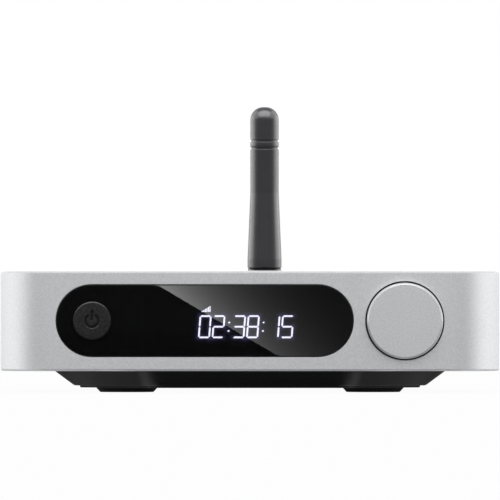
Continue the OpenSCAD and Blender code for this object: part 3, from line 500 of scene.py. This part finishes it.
def strokes_tree():
    """Bar with pointed ends on each point, as a segment display has."""
    tree, start, end = node_tree("display_strokes", [
        ("Length", "Float"), ("Stroke", "Float"), ("Depth", "Float"), ("Turn", "Rotation"),
        ("Finish", "Material")])
    frame_line = tree.nodes.new("GeometryNodeCurvePrimitiveQuadrilateral")
    points = tree.nodes.new("GeometryNodeFilletCurve")
    half = tree.nodes.new("ShaderNodeMath")
    half.operation = "MULTIPLY"
    half.inputs[1].default_value = 0.49
    face = tree.nodes.new("GeometryNodeFillCurve")
    rise = tree.nodes.new("GeometryNodeExtrudeMesh")
    flip = tree.nodes.new("GeometryNodeFlipFaces")
    both = tree.nodes.new("GeometryNodeJoinGeometry")
    weld = tree.nodes.new("GeometryNodeMergeByDistance")
    weld.inputs["Distance"].default_value = 1e-7
    spread = tree.nodes.new("GeometryNodeInstanceOnPoints")
    tree.links.new(start.outputs["Length"], frame_line.inputs["Width"])
    tree.links.new(start.outputs["Stroke"], frame_line.inputs["Height"])
    tree.links.new(start.outputs["Stroke"], half.inputs[0])
    tree.links.new(half.outputs["Value"], points.inputs["Radius"])
    tree.links.new(start.outputs["Depth"], rise.inputs["Offset Scale"])
    chain(tree, frame_line, points, face, rise)
    chain(tree, face, flip)
    tree.links.new(rise.outputs["Mesh"], both.inputs["Geometry"])
    tree.links.new(flip.outputs["Mesh"], both.inputs["Geometry"])
    chain(tree, both, weld)
    tree.links.new(weld.outputs["Geometry"], spread.inputs["Instance"])
    tree.links.new(start.outputs["Geometry"], spread.inputs["Points"])
    tree.links.new(start.outputs["Turn"], spread.inputs["Rotation"])
    closing(tree, start, end, spread)
    return tree


def stair_tree():
    """Row of bars that grow by one step each."""
    tree, start, end = node_tree("stair_of_bars", [
        ("Count", "Int"), ("Pitch", "Float"), ("Width", "Float"), ("Rise", "Float"), ("Depth", "Float"),
        ("Finish", "Material")])
    row = tree.nodes.new("GeometryNodeMeshLine")
    step = tree.nodes.new("ShaderNodeCombineXYZ")
    size = tree.nodes.new("ShaderNodeCombineXYZ")
    bar = tree.nodes.new("GeometryNodeMeshCube")
    lift = tree.nodes.new("GeometryNodeTransform")
    lift.inputs["Translation"].default_value = (0, 0.5, 0)
    number = tree.nodes.new("GeometryNodeInputIndex")
    count = tree.nodes.new("ShaderNodeMath")
    count.inputs[1].default_value = 1
    height = tree.nodes.new("ShaderNodeMath")
    height.operation = "MULTIPLY"
    spread = tree.nodes.new("GeometryNodeInstanceOnPoints")
    links = tree.links
    links.new(start.outputs["Count"], row.inputs["Count"])
    links.new(start.outputs["Pitch"], step.inputs["X"])
    links.new(step.outputs["Vector"], row.inputs["Offset"])
    links.new(number.outputs["Index"], count.inputs[0])
    links.new(count.outputs["Value"], height.inputs[0])
    links.new(start.outputs["Rise"], height.inputs[1])
    links.new(start.outputs["Width"], size.inputs["X"])
    links.new(height.outputs["Value"], size.inputs["Y"])
    links.new(start.outputs["Depth"], size.inputs["Z"])
    chain(tree, bar, lift)
    links.new(lift.outputs["Geometry"], spread.inputs["Instance"])
    links.new(row.outputs["Mesh"], spread.inputs["Points"])
    links.new(size.outputs["Vector"], spread.inputs["Scale"])
    closing(tree, start, end, spread)
    return tree


def grown(name, tree, points, **values):
    """Runs a tree on points and keeps what it makes as a plain mesh."""
    mesh = bpy.data.meshes.new(name)
    mesh.from_pydata(points, [], [])
    piece = linked(name, mesh)
    grow = piece.modifiers.new("grow", "NODES")
    grow.node_group = tree
    for item in tree.interface.items_tree:
        if item.in_out == "INPUT" and item.name in values:
            grow[item.identifier] = values[item.name]
    return settle(piece)


def joined(name, pieces):
    """One mesh of several objects, which are removed."""
    work = bmesh.new()
    for piece in pieces:
        work.from_mesh(piece.data)
        bpy.data.objects.remove(piece)
    mesh = bpy.data.meshes.new(name)
    work.to_mesh(mesh)
    work.free()
    return linked(name, mesh)


# Base and feet

FOOT_TOP_R = 7.45 * MM
FOOT_LOW_R = 6.45 * MM
FOOT_DISH = 0.25 * MM


def base_path(inset):
    """Corners of the base's square with cut corners, moved inwards."""
    half = BASE_W / 2 - inset
    cut = BASE_W - BASE_CORNER - inset * math.sqrt(2) - half
    return [(half, cut), (cut, half), (-cut, half), (-half, cut),
            (-half, -cut), (-cut, -half), (cut, -half), (half, -cut)]


def make_base():
    low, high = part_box("bottom_cover")
    middle = (low + high) / 2
    steps = 9
    ease, bend = 0.3 * MM, 0.08 * MM
    plate = [(ease, high.z), (bend, high.z - bend), (0, high.z - ease), (0, body_z)]
    rings = []
    for inset, z in plate:
        outline = rectangle(high.x - low.x - 2 * inset, high.y - low.y - 2 * inset,
                            PLATE_R - inset, 2 * steps + 1)
        rings.append([(middle.x + x, middle.y + y, z) for x, y in outline])
    bottom = low.z + STEP_H
    drop = body_z - bottom
    slope = [(BASE_EDGE_R - BASE_DRAFT * t, body_z - drop * t) for t in (0, 0.3, 0.6, 0.93)]
    slope += [(BASE_EDGE_R - BASE_DRAFT - 0.02 * MM, bottom + 0.06 * MM),
              (BASE_EDGE_R - BASE_DRAFT - 0.25 * MM, bottom)]
    for radius, z in slope:
        rings.append([(middle.x + x, middle.y + y, z)
                      for x, y in rounded_path(base_path(BASE_EDGE_R), radius, steps)])
    path = base_path(BASE_DRAFT + STEP_INSET + STEP_R)
    step = [(STEP_R, bottom), (STEP_R - 0.1 * MM, low.z + 0.12 * MM), (STEP_R - 0.3 * MM, low.z)]
    for radius, z in step:
        rings.append([(middle.x + x, middle.y + y, z) for x, y in rounded_path(path, radius, steps)])
    return smoothed(lofted("streamer_base", rings), 28)


def make_feet():
    height = feet_high.z - feet_low.z
    profile = softened([(0, FOOT_DISH), (FOOT_LOW_R - 1.6 * MM, FOOT_DISH), (FOOT_LOW_R - 1.3 * MM, 0),
                        (FOOT_LOW_R, 0), (FOOT_TOP_R, height), (0, height)], 0.18 * MM)
    foot = turned("foot", profile, along_z(0, 0), 72)
    x = (feet_high.x - feet_low.x) / 2 - FOOT_TOP_R
    y = (feet_high.y - feet_low.y) / 2 - FOOT_TOP_R
    middle = (feet_low + feet_high) / 2
    spots = [(middle.x + a * x, middle.y + b * y, feet_low.z) for a in (-1, 1) for b in (-1, 1)]
    feet = grown("streamer_feet", copies_tree(), spots, Piece=foot, Finish=finishes["foot_rubber"])
    bpy.data.objects.remove(foot)
    return smoothed(feet)


fitted(make_base(), "case", "base_plastic", "bottom_cover")
fitted(make_feet(), "case", "foot_rubber", "rubber_feet")


# Window, button and display

def make_lens():
    front, back = lens_low.y, lens_high.y
    step = back - LENS_FLANGE_T
    width, height = WINDOW_W - FIT_GAP, WINDOW_H - FIT_GAP
    flange = obround(lens_high.x - lens_low.x, lens_high.z - lens_low.z, 32)
    sections = [(flange, back), (flange, step), (obround(width, height, 32), step)]
    ease = 0.2 * MM
    for i in range(6):
        t = math.radians(90 * i / 5)
        inset = ease * (1 - math.cos(t))
        outline = obround(width - 2 * inset, height - 2 * inset, 32)
        sections.append((outline, front + ease * (1 - math.sin(t))))
    lens = prism_y("window", sections, window_x, axis_z)
    r = BUTTON_R + BUTTON_GAP
    mouth = 0.12 * MM
    profile = [(0, front - MM), (r + mouth + MM, front - MM), (r, front + mouth), (r, back + MM),
               (0, back + MM)]
    bore = turned("bore", profile, along_y(button_x, axis_z), 96)
    return smoothed(carve(lens, bore), 40)


SIGN_R = 1.52 * MM
SIGN_STROKE = 0.52 * MM
SIGN_OPENING = 40
SIGN_TOP = 2.28 * MM
SIGN_LOW = 0.22 * MM
SIGN_DEEP = 0.3 * MM
SIGN_FLARE = 0.17 * MM
SIGN_LEAN = 0.7
# Depth under the face at which the sign's painted shade starts
SIGN_SHADE_DEPTH = 0.16 * MM


def sign_ring(half):
    """Outline of the sign's open ring, at half its stroke from the middle line."""
    start, end = 90 + SIGN_OPENING, 450 - SIGN_OPENING

    def tip(turn, first):
        middle = (SIGN_R * math.cos(math.radians(turn)), SIGN_R * math.sin(math.radians(turn)))
        return arc(middle, half, first, first + 180, 8)[1:-1]

    return (arc((0, 0), SIGN_R + half, start, end, 48) + tip(end, end)
            + arc((0, 0), SIGN_R - half, end, start, 48) + tip(start, start + 180))


def sign_bar(half):
    """Outline of the sign's bar, at half its stroke from the middle line."""
    return arc((0, SIGN_TOP), half, 0, 180, 10) + arc((0, SIGN_LOW), half, 180, 360, 10)


def sign_cutters(face):
    """Grooves of the engraved sign, with flared edges."""
    wide, ahead = SIGN_STROKE / 2, 0.05 * MM
    mouth = wide + SIGN_FLARE + ahead / SIGN_LEAN
    depths = ((mouth, face - ahead), (wide, face + SIGN_FLARE * SIGN_LEAN), (wide, face + SIGN_DEEP))
    return [prism_y("groove", [(outline(half), y) for half, y in depths], button_x, axis_z)
            for outline in (sign_ring, sign_bar)]


def make_sign_shade(face):
    """Painted shade: a dark layer on the grooves' floors, standing in for the shade that falls in the
    engraved sign's grooves.
    """
    wide = SIGN_STROKE / 2 + 0.02 * MM
    depths = (face + SIGN_SHADE_DEPTH, face + SIGN_DEEP + 0.05 * MM)
    # Dark layer of painted shade on each groove's floor
    floors = [prism_y("paint", [(outline(wide), y) for y in depths], button_x, axis_z)
              for outline in (sign_ring, sign_bar)]
    return joined("power_sign", floors)


def make_button():
    face, back = button_low.y, button_high.y
    r = BUTTON_R
    flange_r = r + BUTTON_LIP
    flange = lens_high.y + 0.2 * MM
    stem = 2 * MM
    rim = (0.26 * MM, 0.19 * MM)
    front = [(0, face), (r - rim[0], face), (r, face + rim[1]), (r, flange), (flange_r, flange)]
    front = softened(front, 0.03 * MM, 2)
    profile = front + [(flange_r, flange + MM), (stem, flange + MM), (stem, back), (0, back)]
    button = turned("power_key", profile, along_y(button_x, axis_z), 128)
    return smoothed(carve(button, *sign_cutters(face)), 22)


fitted(make_lens(), "case", "window_acrylic", "window_lens")
fitted(make_button(), "power_button", "button_plastic", "power_button")
# Painted shade in the sign's engraved grooves
fitted(make_sign_shade(button_low.y), "power_button", "button_plastic", finish=finishes["sign_paint"])

glass_low, glass_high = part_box("display_glass")
CELL = 3.3 * MM
DIGIT_W = 2.5 * MM
DIGIT_H = 5.1 * MM
STROKE = 0.41 * MM
STROKE_GAP = 0.1 * MM
DOT_L = 0.55 * MM
MARK_T = 0.05 * MM
MARK_LIFT = 0.03 * MM
SLANT = math.tan(math.radians(4.5))
TEXT_X = -12.5 * MM
TEXT_Z = axis_z - 1.45 * MM
STAIR_X = TEXT_X + 1.03 * MM
STAIR_Z = DIGIT_H / 2 + 1.0 * MM
FACE_T = 0.02 * MM
FACE_MARGIN = 0.4 * MM
HALO_REACH = 0.26 * MM
LEVEL_STROKES = (("a", 0.5), ("g", 0), ("d", -0.5))
UPRIGHT_STROKES = (("f", -0.5, 0.25), ("b", 0.5, 0.25), ("e", -0.5, -0.25), ("c", 0.5, -0.25))
LIT = {"0": "abcdef", "1": "bc", "2": "abged", "3": "abgcd", "4": "fgbc", "5": "afgcd", "6": "afgedc",
       "7": "abc", "8": "abcdefg", "9": "abcdfg"}


def display_layout(reading):
    """Middles of the lit level and upright strokes, and of the colons' dots."""
    level, upright, dots = [], [], []
    x = TEXT_X
    for mark in reading:
        if mark == ":":
            dots += [(x + CELL / 4, DIGIT_H * t) for t in (-0.2, 0.2)]
            x += CELL / 2
            continue
        middle = x + CELL / 2
        for name, height in LEVEL_STROKES:
            if name in LIT[mark]:
                level.append((middle, DIGIT_H * height))
        for name, side, height in UPRIGHT_STROKES:
            if name in LIT[mark]:
                upright.append((middle + DIGIT_W * side, DIGIT_H * height))
        x += CELL
    return level, upright, dots


level, upright, dots = display_layout("02:38:15")
stroke_maker = strokes_tree()
lit = glowing("display_light", (0.93, 0.93, 1.0), 20.0)
quarter = (0, 0, math.pi / 2)
sizes = {"Stroke": STROKE, "Depth": MARK_T, "Finish": lit}
marks = [
    grown("level", stroke_maker, [(x, z, 0) for x, z in level], Length=DIGIT_W - STROKE_GAP, **sizes),
    grown("upright", stroke_maker, [(x, z, 0) for x, z in upright], Length=DIGIT_H / 2 - STROKE_GAP,
          Turn=quarter, **sizes),
    grown("dots", stroke_maker, [(x, z, 0) for x, z in dots], Length=DOT_L, **sizes),
]
dim_lit = glowing("signal_light", (0.90, 0.91, 1.0), 27.0)
stair = grown("signal_stair", stair_tree(), [(0, 0, 0)], Count=6, Pitch=0.375 * MM, Width=0.2 * MM,
              Rise=0.235 * MM, Depth=MARK_T, Finish=dim_lit)
stair.data.transform(Matrix.Translation((STAIR_X, STAIR_Z, 0)))
shear = Matrix(((1, SLANT, 0, 0), (0, 1, 0, 0), (0, 0, 1, 0), (0, 0, 0, 1)))
for mark in marks:
    mark.data.transform(shear)
text = joined("display_digits", marks)
stand_up = Matrix(((1, 0, 0, 0), (0, 0, -1, glass_low.y - MARK_LIFT), (0, 1, 0, TEXT_Z), (0, 0, 0, 1)))
for mark, light in ((text, lit), (stair, dim_lit)):
    mark.data.transform(stand_up)
    fitted(mark, "case", "light_guide", finish=light)


def make_display_face():
    """Dark face of the display, whose light fades with the distance from the lit marks."""
    columns, rows = 150, 50
    spans = ([(Vector((x + SLANT * z, z)), Vector((DIGIT_W / 2, 0))) for x, z in level]
             + [(Vector((x + SLANT * z, z)), Vector((SLANT, 1)) * DIGIT_H / 4) for x, z in upright]
             + [(Vector((x + SLANT * z, z)), Vector((0, 0))) for x, z in dots])
    low = Vector((glass_low.x + FACE_MARGIN, glass_low.z + FACE_MARGIN))
    high = Vector((glass_high.x - FACE_MARGIN, glass_high.z - FACE_MARGIN))
    points, glow = [], []
    for j in range(rows + 1):
        for i in range(columns + 1):
            x = low.x + (high.x - low.x) * i / columns
            z = low.y + (high.y - low.y) * j / rows
            here = Vector((x, z - TEXT_Z))
            light = 0.0
            for middle, half in spans:
                along = 0.0
                if half.length > 0:
                    along = max(-1.0, min(1.0, (here - middle).dot(half) / half.length_squared))
                gap = max(0.0, (here - middle - half * along).length - STROKE / 2)
                light += math.exp(-gap / HALO_REACH)
            points.append((x, glass_low.y - FACE_T, z))
            glow.append(min(1.0, light))
    wide = columns + 1
    faces = [(j * wide + i, j * wide + i + 1, (j + 1) * wide + i + 1, (j + 1) * wide + i)
             for j in range(rows) for i in range(columns)]
    mesh = bpy.data.meshes.new("display_face")
    mesh.from_pydata(points, [], faces)
    shade = mesh.attributes.new("glow", "FLOAT", "POINT")
    shade.data.foreach_set("value", glow)
    face = linked("display_face", mesh)
    wall = face.modifiers.new("wall", "SOLIDIFY")
    wall.thickness = 0.7 * FACE_T
    return settle(face)


face_light = glowing("display_halo", (0.225, 0.205, 0.47), 2.6, "glow")
fitted(make_display_face(), "case", "display_glass", finish=face_light)


# Knob, a little larger than its solid, as the photo shows it

KNOB_EASE = 0.07 * MM


def make_knob():
    front, back = knob_low.y, knob_high.y
    r = (knob_high.x - knob_low.x) / 2 + KNOB_EASE
    bevel, hub, bore, wall = 0.38 * MM, 4.8 * MM, 3.05 * MM, 1.6 * MM
    face, bore_end = front + 2 * MM, front + 2.4 * MM
    outer = softened([(0, front), (r - bevel, front), (r, front + bevel), (r, back)], 0.07 * MM, 4)
    profile = outer + [(r - wall, back), (r - wall, face), (hub, face), (hub, back),
                       (bore, back), (bore, bore_end), (0, bore_end)]
    return smoothed(turned("volume_knob", profile, along_y(knob_x, axis_z), 160), 30)


fitted(make_knob(), "knob", "turned_aluminium", "knob_cap")


# Antenna

sleeve_low, sleeve_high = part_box("antenna_sleeve")
antenna_x = (sleeve_low.x + sleeve_high.x) / 2
hinge_y = (sleeve_low.y + sleeve_high.y) / 2


def make_sleeve():
    low, high = sleeve_low.z, sleeve_high.z
    base, tip, dome = (sleeve_high.x - sleeve_low.x) / 2, SLEEVE_TIP_R, SLEEVE_DOME_R
    sides = [(base - SLEEVE_EDGE, low), (base, low + SLEEVE_EDGE), (base, low + SLEEVE_FOOT_L),
             (tip, low + SLEEVE_TAPER_L)]
    for centre in (high - GROOVE_TOP - GROOVE_PITCH, high - GROOVE_TOP):
        sides += [(tip, centre - GROOVE_W / 2), (tip - GROOVE_T, centre - 0.4 * GROOVE_W),
                  (tip - GROOVE_T, centre + 0.4 * GROOVE_W), (tip, centre + GROOVE_W / 2)]
    crown = arc((tip - dome, high - dome), dome, 0, 90, 16)
    bore, wire = 2.65 * MM, 2.2 * MM
    room, ledge = low + 25 * MM, low + 4.3 * MM
    inside = [(0, room), (wire, room), (wire, ledge), (bore, ledge), (bore, low)]
    profile = inside + softened([(bore, low)] + sides, 0.04 * MM, 3)[1:] + crown + [(0, high)]
    return smoothed(turned("antenna_stub", profile, along_z(antenna_x, hinge_y), 96), 34)


def make_collar():
    low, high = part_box("antenna_collar")
    x, z = (low.x + high.x) / 2, (low.z + high.z) / 2
    r = (high.x - low.x) / 2
    inside, hole, wall = 3.2 * MM, 2.55 * MM, 1.2 * MM
    edge, rim, slope = 0.2 * MM, 0.9 * MM, 1.1 * MM
    rib = 0.42 * MM
    band = r - 0.75 * rib
    outer = softened([(inside, low.y), (r - edge, low.y), (r, low.y + edge), (r, low.y + rim),
                      (band, low.y + slope), (band, high.y - slope), (r, high.y - rim),
                      (r, high.y - edge), (r - edge, high.y), (hole, high.y)], 0.1 * MM, 3)
    profile = outer + [(hole, high.y - wall), (inside, high.y - wall)]
    ring = turned("collar", profile, along_y(x, z), 96, loop=True)
    ribs = grown("ribs", ribs_tree(), [(0, 0, 0)], Count=48, Radius=band - 0.02 * MM, Rib=rib,
                 Length=high.y - low.y - 2.3 * MM, Finish=finishes["antenna_plastic"])
    lay = Matrix(((1, 0, 0, x), (0, 0, 1, (low.y + high.y) / 2), (0, -1, 0, z), (0, 0, 0, 1)))
    ribs.data.transform(lay)
    return smoothed(joined("antenna_grip", [ring, ribs]), 30)


fitted(make_sleeve(), "antenna_rod", "antenna_plastic", "antenna_sleeve")
fitted(make_collar(), "case", "antenna_plastic", "antenna_collar")


# Studio

# Levels of the room's ceiling and of its walls, from the camera's side (0) to the far side (2), and
# the height, as a sine, over which the walls give way to the ceiling
CEILING_LIGHT = 0.79
ROOM_LIGHT = ((0, 0.80), (0.15, 0.76), (0.30, 0.58), (0.46, 0.56),
              (0.58, 0.80), (0.80, 1.38), (1.5, 1.33), (2, 1.0))
WALL_EDGE = (0.06, 0.30)
# Floor, and the share of plain white that the camera sees in it
FLOOR_Z = -0.05 * MM
FLOOR_HALF = 3
FLOOR_PAINT = (0.8, 0.8, 0.8, 1)
CAMERA_SHARE = 0.96
# Light that the base mirrors from the floor, by the distance in mm from the middle, along a slant
FLOOR_GLOW = ((23.4, 0.03), (25.6, 0.40), (27.0, 0.40), (29.8, 0.12), (36, 0.125),
              (43, 0.15), (52, 0.22), (54, 0.22), (59, 0.12))
FLOOR_SLANT = 0.48
GLOW_Y = -52 * MM
# Dark flag on the floor before the case, which only glossy surfaces mirror
FLAG_NEAR = (-0.076, -0.067)
FLAG_FAR = (-1.6, -0.5)
FLAG_SIDE = (0.22, 0.70)
FLAG_SHARE = 0.71
FLAG_LEVEL = 0.1
# Camera: distance from the case's front, width of the view there, and height
VIEW_D = 4.0
VIEW_W = 119.93 * MM
VIEW_Z = 34.365 * MM
# Cards that the window mirrors: distance, slanting edge and sides in mm on the window, and levels
CARD_D = 1.0
CARD_REACH = 1 + CARD_D / VIEW_D
CARD_EDGE = ((-22.35, 26.1), (6.73, 8.9))
CARD_X = (-50, 30)
CARD_Z = (28.5, 6.5)
CARD_DARK = 0.05
CARD_LIGHT = 7.3
CARD_FADE = (0.1124, 0.0876)


def studio_material(name):
    material = bpy.data.materials.new(name)
    material.use_nodes = True
    material.node_tree.nodes.clear()
    return material, material.node_tree


def place_parts(tree):
    """X, Y and Z of the place on the object."""
    place = tree.nodes.new("ShaderNodeTexCoord")
    parts = tree.nodes.new("ShaderNodeSeparateXYZ")
    tree.links.new(place.outputs["Object"], parts.inputs["Vector"])
    return parts.outputs


def lit_shader(tree, level):
    """White light of a level, which is a number or another node's output."""
    made = tree.nodes.new("ShaderNodeEmission")
    if isinstance(level, (int, float)):
        made.inputs["Strength"].default_value = level
    else:
        tree.links.new(level, made.inputs["Strength"])
    return made.outputs["Emission"]


def mixed(tree, share, low, high):
    """Shader that goes from low to high with the share."""
    made = tree.nodes.new("ShaderNodeMixShader")
    tree.links.new(share, made.inputs["Fac"])
    tree.links.new(low, made.inputs[1])
    tree.links.new(high, made.inputs[2])
    return made.outputs["Shader"]


def surface(tree, shader):
    out = tree.nodes.new("ShaderNodeOutputMaterial")
    tree.links.new(shader, out.inputs["Surface"])


def make_floor():
    """Pale floor, lifted towards white for the camera, that still takes the shadow."""
    corners = [(x * FLOOR_HALF, y * FLOOR_HALF, FLOOR_Z) for x, y in ((-1, -1), (1, -1), (1, 1), (-1, 1))]
    floor = solid("floor", corners, [(0, 1, 2, 3)])
    material, tree = studio_material("floor_paint")
    paint = tree.nodes.new("ShaderNodeBsdfDiffuse")
    paint.inputs["Color"].default_value = FLOOR_PAINT
    path = tree.nodes.new("ShaderNodeLightPath").outputs
    parts = place_parts(tree)
    aside = maths(tree, "ABSOLUTE", parts["X"])
    slanted = maths(tree, "ADD", aside, maths(tree, "MULTIPLY", parts["Y"], FLOOR_SLANT))
    glow = stops(tree, maths(tree, "SUBTRACT", slanted, FLOOR_SLANT * GLOW_Y), FLOOR_GLOW)
    glow = maths(tree, "MULTIPLY", path["Is Glossy Ray"], glow)
    seen = maths(tree, "MULTIPLY", path["Is Camera Ray"], CAMERA_SHARE)
    lifted = mixed(tree, maths(tree, "ADD", seen, glow), paint.outputs["BSDF"], lit_shader(tree, 1))
    flag = ramp(tree, parts["Y"], *FLAG_NEAR, FLAG_SHARE, 0)
    flag = maths(tree, "MULTIPLY", flag, ramp(tree, parts["Y"], *FLAG_FAR, 0, 1))
    flag = maths(tree, "MULTIPLY", flag, ramp(tree, aside, *FLAG_SIDE, 1, 0))
    flag = maths(tree, "MULTIPLY", flag, path["Is Glossy Ray"])
    surface(tree, mixed(tree, flag, lifted, lit_shader(tree, FLAG_LEVEL)))
    floor.data.materials.append(material)


def make_world():
    """White room for the camera; for the object, walls of its own levels under a plain ceiling."""
    world = bpy.data.worlds.new("studio")
    scene.world = world
    world.use_nodes = True
    tree = world.node_tree
    tree.nodes.clear()
    way = tree.nodes.new("ShaderNodeTexCoord")
    parts = tree.nodes.new("ShaderNodeSeparateXYZ")
    tree.links.new(way.outputs["Generated"], parts.inputs["Vector"])
    path = tree.nodes.new("ShaderNodeLightPath")
    upright = maths(tree, "ABSOLUTE", parts.outputs["Z"])
    wall = stops(tree, maths(tree, "ADD", parts.outputs["Y"], 1), ROOM_LIGHT, 1)
    light = ramp(tree, upright, *WALL_EDGE, wall, CEILING_LIGHT)
    seen = maths(tree, "MAXIMUM", path.outputs["Is Camera Ray"], path.outputs["Is Transmission Ray"])
    mix = tree.nodes.new("ShaderNodeMix")
    mix.inputs["B"].default_value = 1.0
    tree.links.new(seen, mix.inputs["Factor"])
    tree.links.new(light, mix.inputs["A"])
    sky = tree.nodes.new("ShaderNodeBackground")
    tree.links.new(mix.outputs["Result"], sky.inputs["Strength"])
    out = tree.nodes.new("ShaderNodeOutputWorld")
    tree.links.new(sky.outputs["Background"], out.inputs["Surface"])
    sky.inputs["Color"].default_value = (1, 1, 1, 1)


def softbox(name, place, aim, size, level, *lit):
    """Area lamp as bright as the level, that lights only the pieces named."""
    light = bpy.data.lights.new(name, "AREA")
    light.shape = "RECTANGLE"
    light.size, light.size_y = size
    light.energy = level * math.pi * size[0] * size[1]
    lamp = bpy.data.objects.new(name, light)
    lamp.location = place
    lamp.rotation_euler = (Vector(aim) - Vector(place)).to_track_quat("-Z", "Y").to_euler()
    lamp.visible_camera = False
    scene.collection.objects.link(lamp)
    lit_pieces = bpy.data.collections.new(name + "_lights")
    for piece in lit:
        lit_pieces.objects.link(bpy.data.objects[piece])
    lamp.light_linking.receiver_collection = lit_pieces


def card_point(x, z):
    """Where the card is met by the sight line that the window throws back from a point of its face."""
    return (x * CARD_REACH, lens_low.y - CARD_D, VIEW_Z + (z - VIEW_Z) * CARD_REACH)


def card(name, corners, shade):
    """Studio card that shows only in reflections."""
    made = solid(name, [card_point(x * MM, z * MM) for x, z in corners], [tuple(range(len(corners)))])
    made.data.materials.append(shade)
    made.visible_camera = False
    made.visible_diffuse = False
    made.visible_shadow = False
    made.visible_transmission = False


def make_cards():
    """Dark card before the window, and beside its slanting edge a lit one that fades away from it."""
    top, bottom = CARD_EDGE
    slope = (bottom[0] - top[0]) / (bottom[1] - top[1])
    upper, lower = CARD_Z
    left, right = CARD_X
    line = [(top[0] + slope * (z - top[1]), z) for z in (upper, lower)]
    material, tree = studio_material("dark_card")
    surface(tree, lit_shader(tree, CARD_DARK))
    card("dark_card", [line[0], (left, upper), (left, lower), line[1]], material)
    material, tree = studio_material("lit_card")
    parts = place_parts(tree)
    across, down = [fade / (CARD_REACH * MM) for fade in CARD_FADE]
    start = card_point(line[0][0] * MM, upper * MM)
    aside = maths(tree, "MULTIPLY", maths(tree, "SUBTRACT", parts["X"], start[0]), -across)
    below = maths(tree, "SUBTRACT", parts["Z"], start[2])
    below = maths(tree, "MULTIPLY", below, down + across * slope)
    fade = maths(tree, "EXPONENT", maths(tree, "ADD", aside, below))
    light = maths(tree, "ADD", maths(tree, "MULTIPLY", fade, CARD_LIGHT), CARD_DARK)
    surface(tree, lit_shader(tree, light))
    card("lit_card", [line[0], line[1], (right, lower), (right, upper)], material)


make_floor()
make_world()
make_cards()
# Lamps: name, place, aim, size, level and the pieces lit
antenna = ("antenna_stub", "antenna_ferrule")
softbox("dome_box", (0, -0.27, 0.70), (0, 0.06, 0.06), (1.15, 0.85), 6.6, *antenna)
for side in (-1, 1):
    softbox("crown_box", (side * 0.83, 0.14, 0.60), (0, 0.068, 0.06), (1.6, 0.7), 2.4, *antenna)
    softbox("strip_box", (side * 0.85, 0.40, 0.06), (0, 0.068, 0.05), (0.95, 0.5), 3.2, *antenna)
softbox("back_box", (0, 2.0, 0.75), (0, 0, 0.03), (1.2, 1.0), 0.8, "case_shell")
softbox("knob_box", (0.037, -0.56, 0.54), (0.037, -0.069, 0.017), (0.7, 0.45), 2.6, "volume_knob")
softbox("edge_box", (-0.8, -0.12, 0.05), (0.037, -0.069, 0.017), (0.3, 0.3), 0.6, "volume_knob")
softbox("rim_box", (0, -0.24, 0.69), (-0.038, -0.067, 0.017), (3.0, 0.16), 15.0,
        "power_key", "power_sign")

camera_data = bpy.data.cameras.new("camera")
camera_data.lens = camera_data.sensor_width * VIEW_D / VIEW_W
camera_data.clip_start, camera_data.clip_end = 0.1, 50
camera = bpy.data.objects.new("camera", camera_data)
camera.location = (0, front_y - VIEW_D, VIEW_Z)
camera.rotation_euler = (math.pi / 2, 0, 0)
scene.collection.objects.link(camera)
scene.camera = camera
scene.view_settings.view_transform = "Standard"
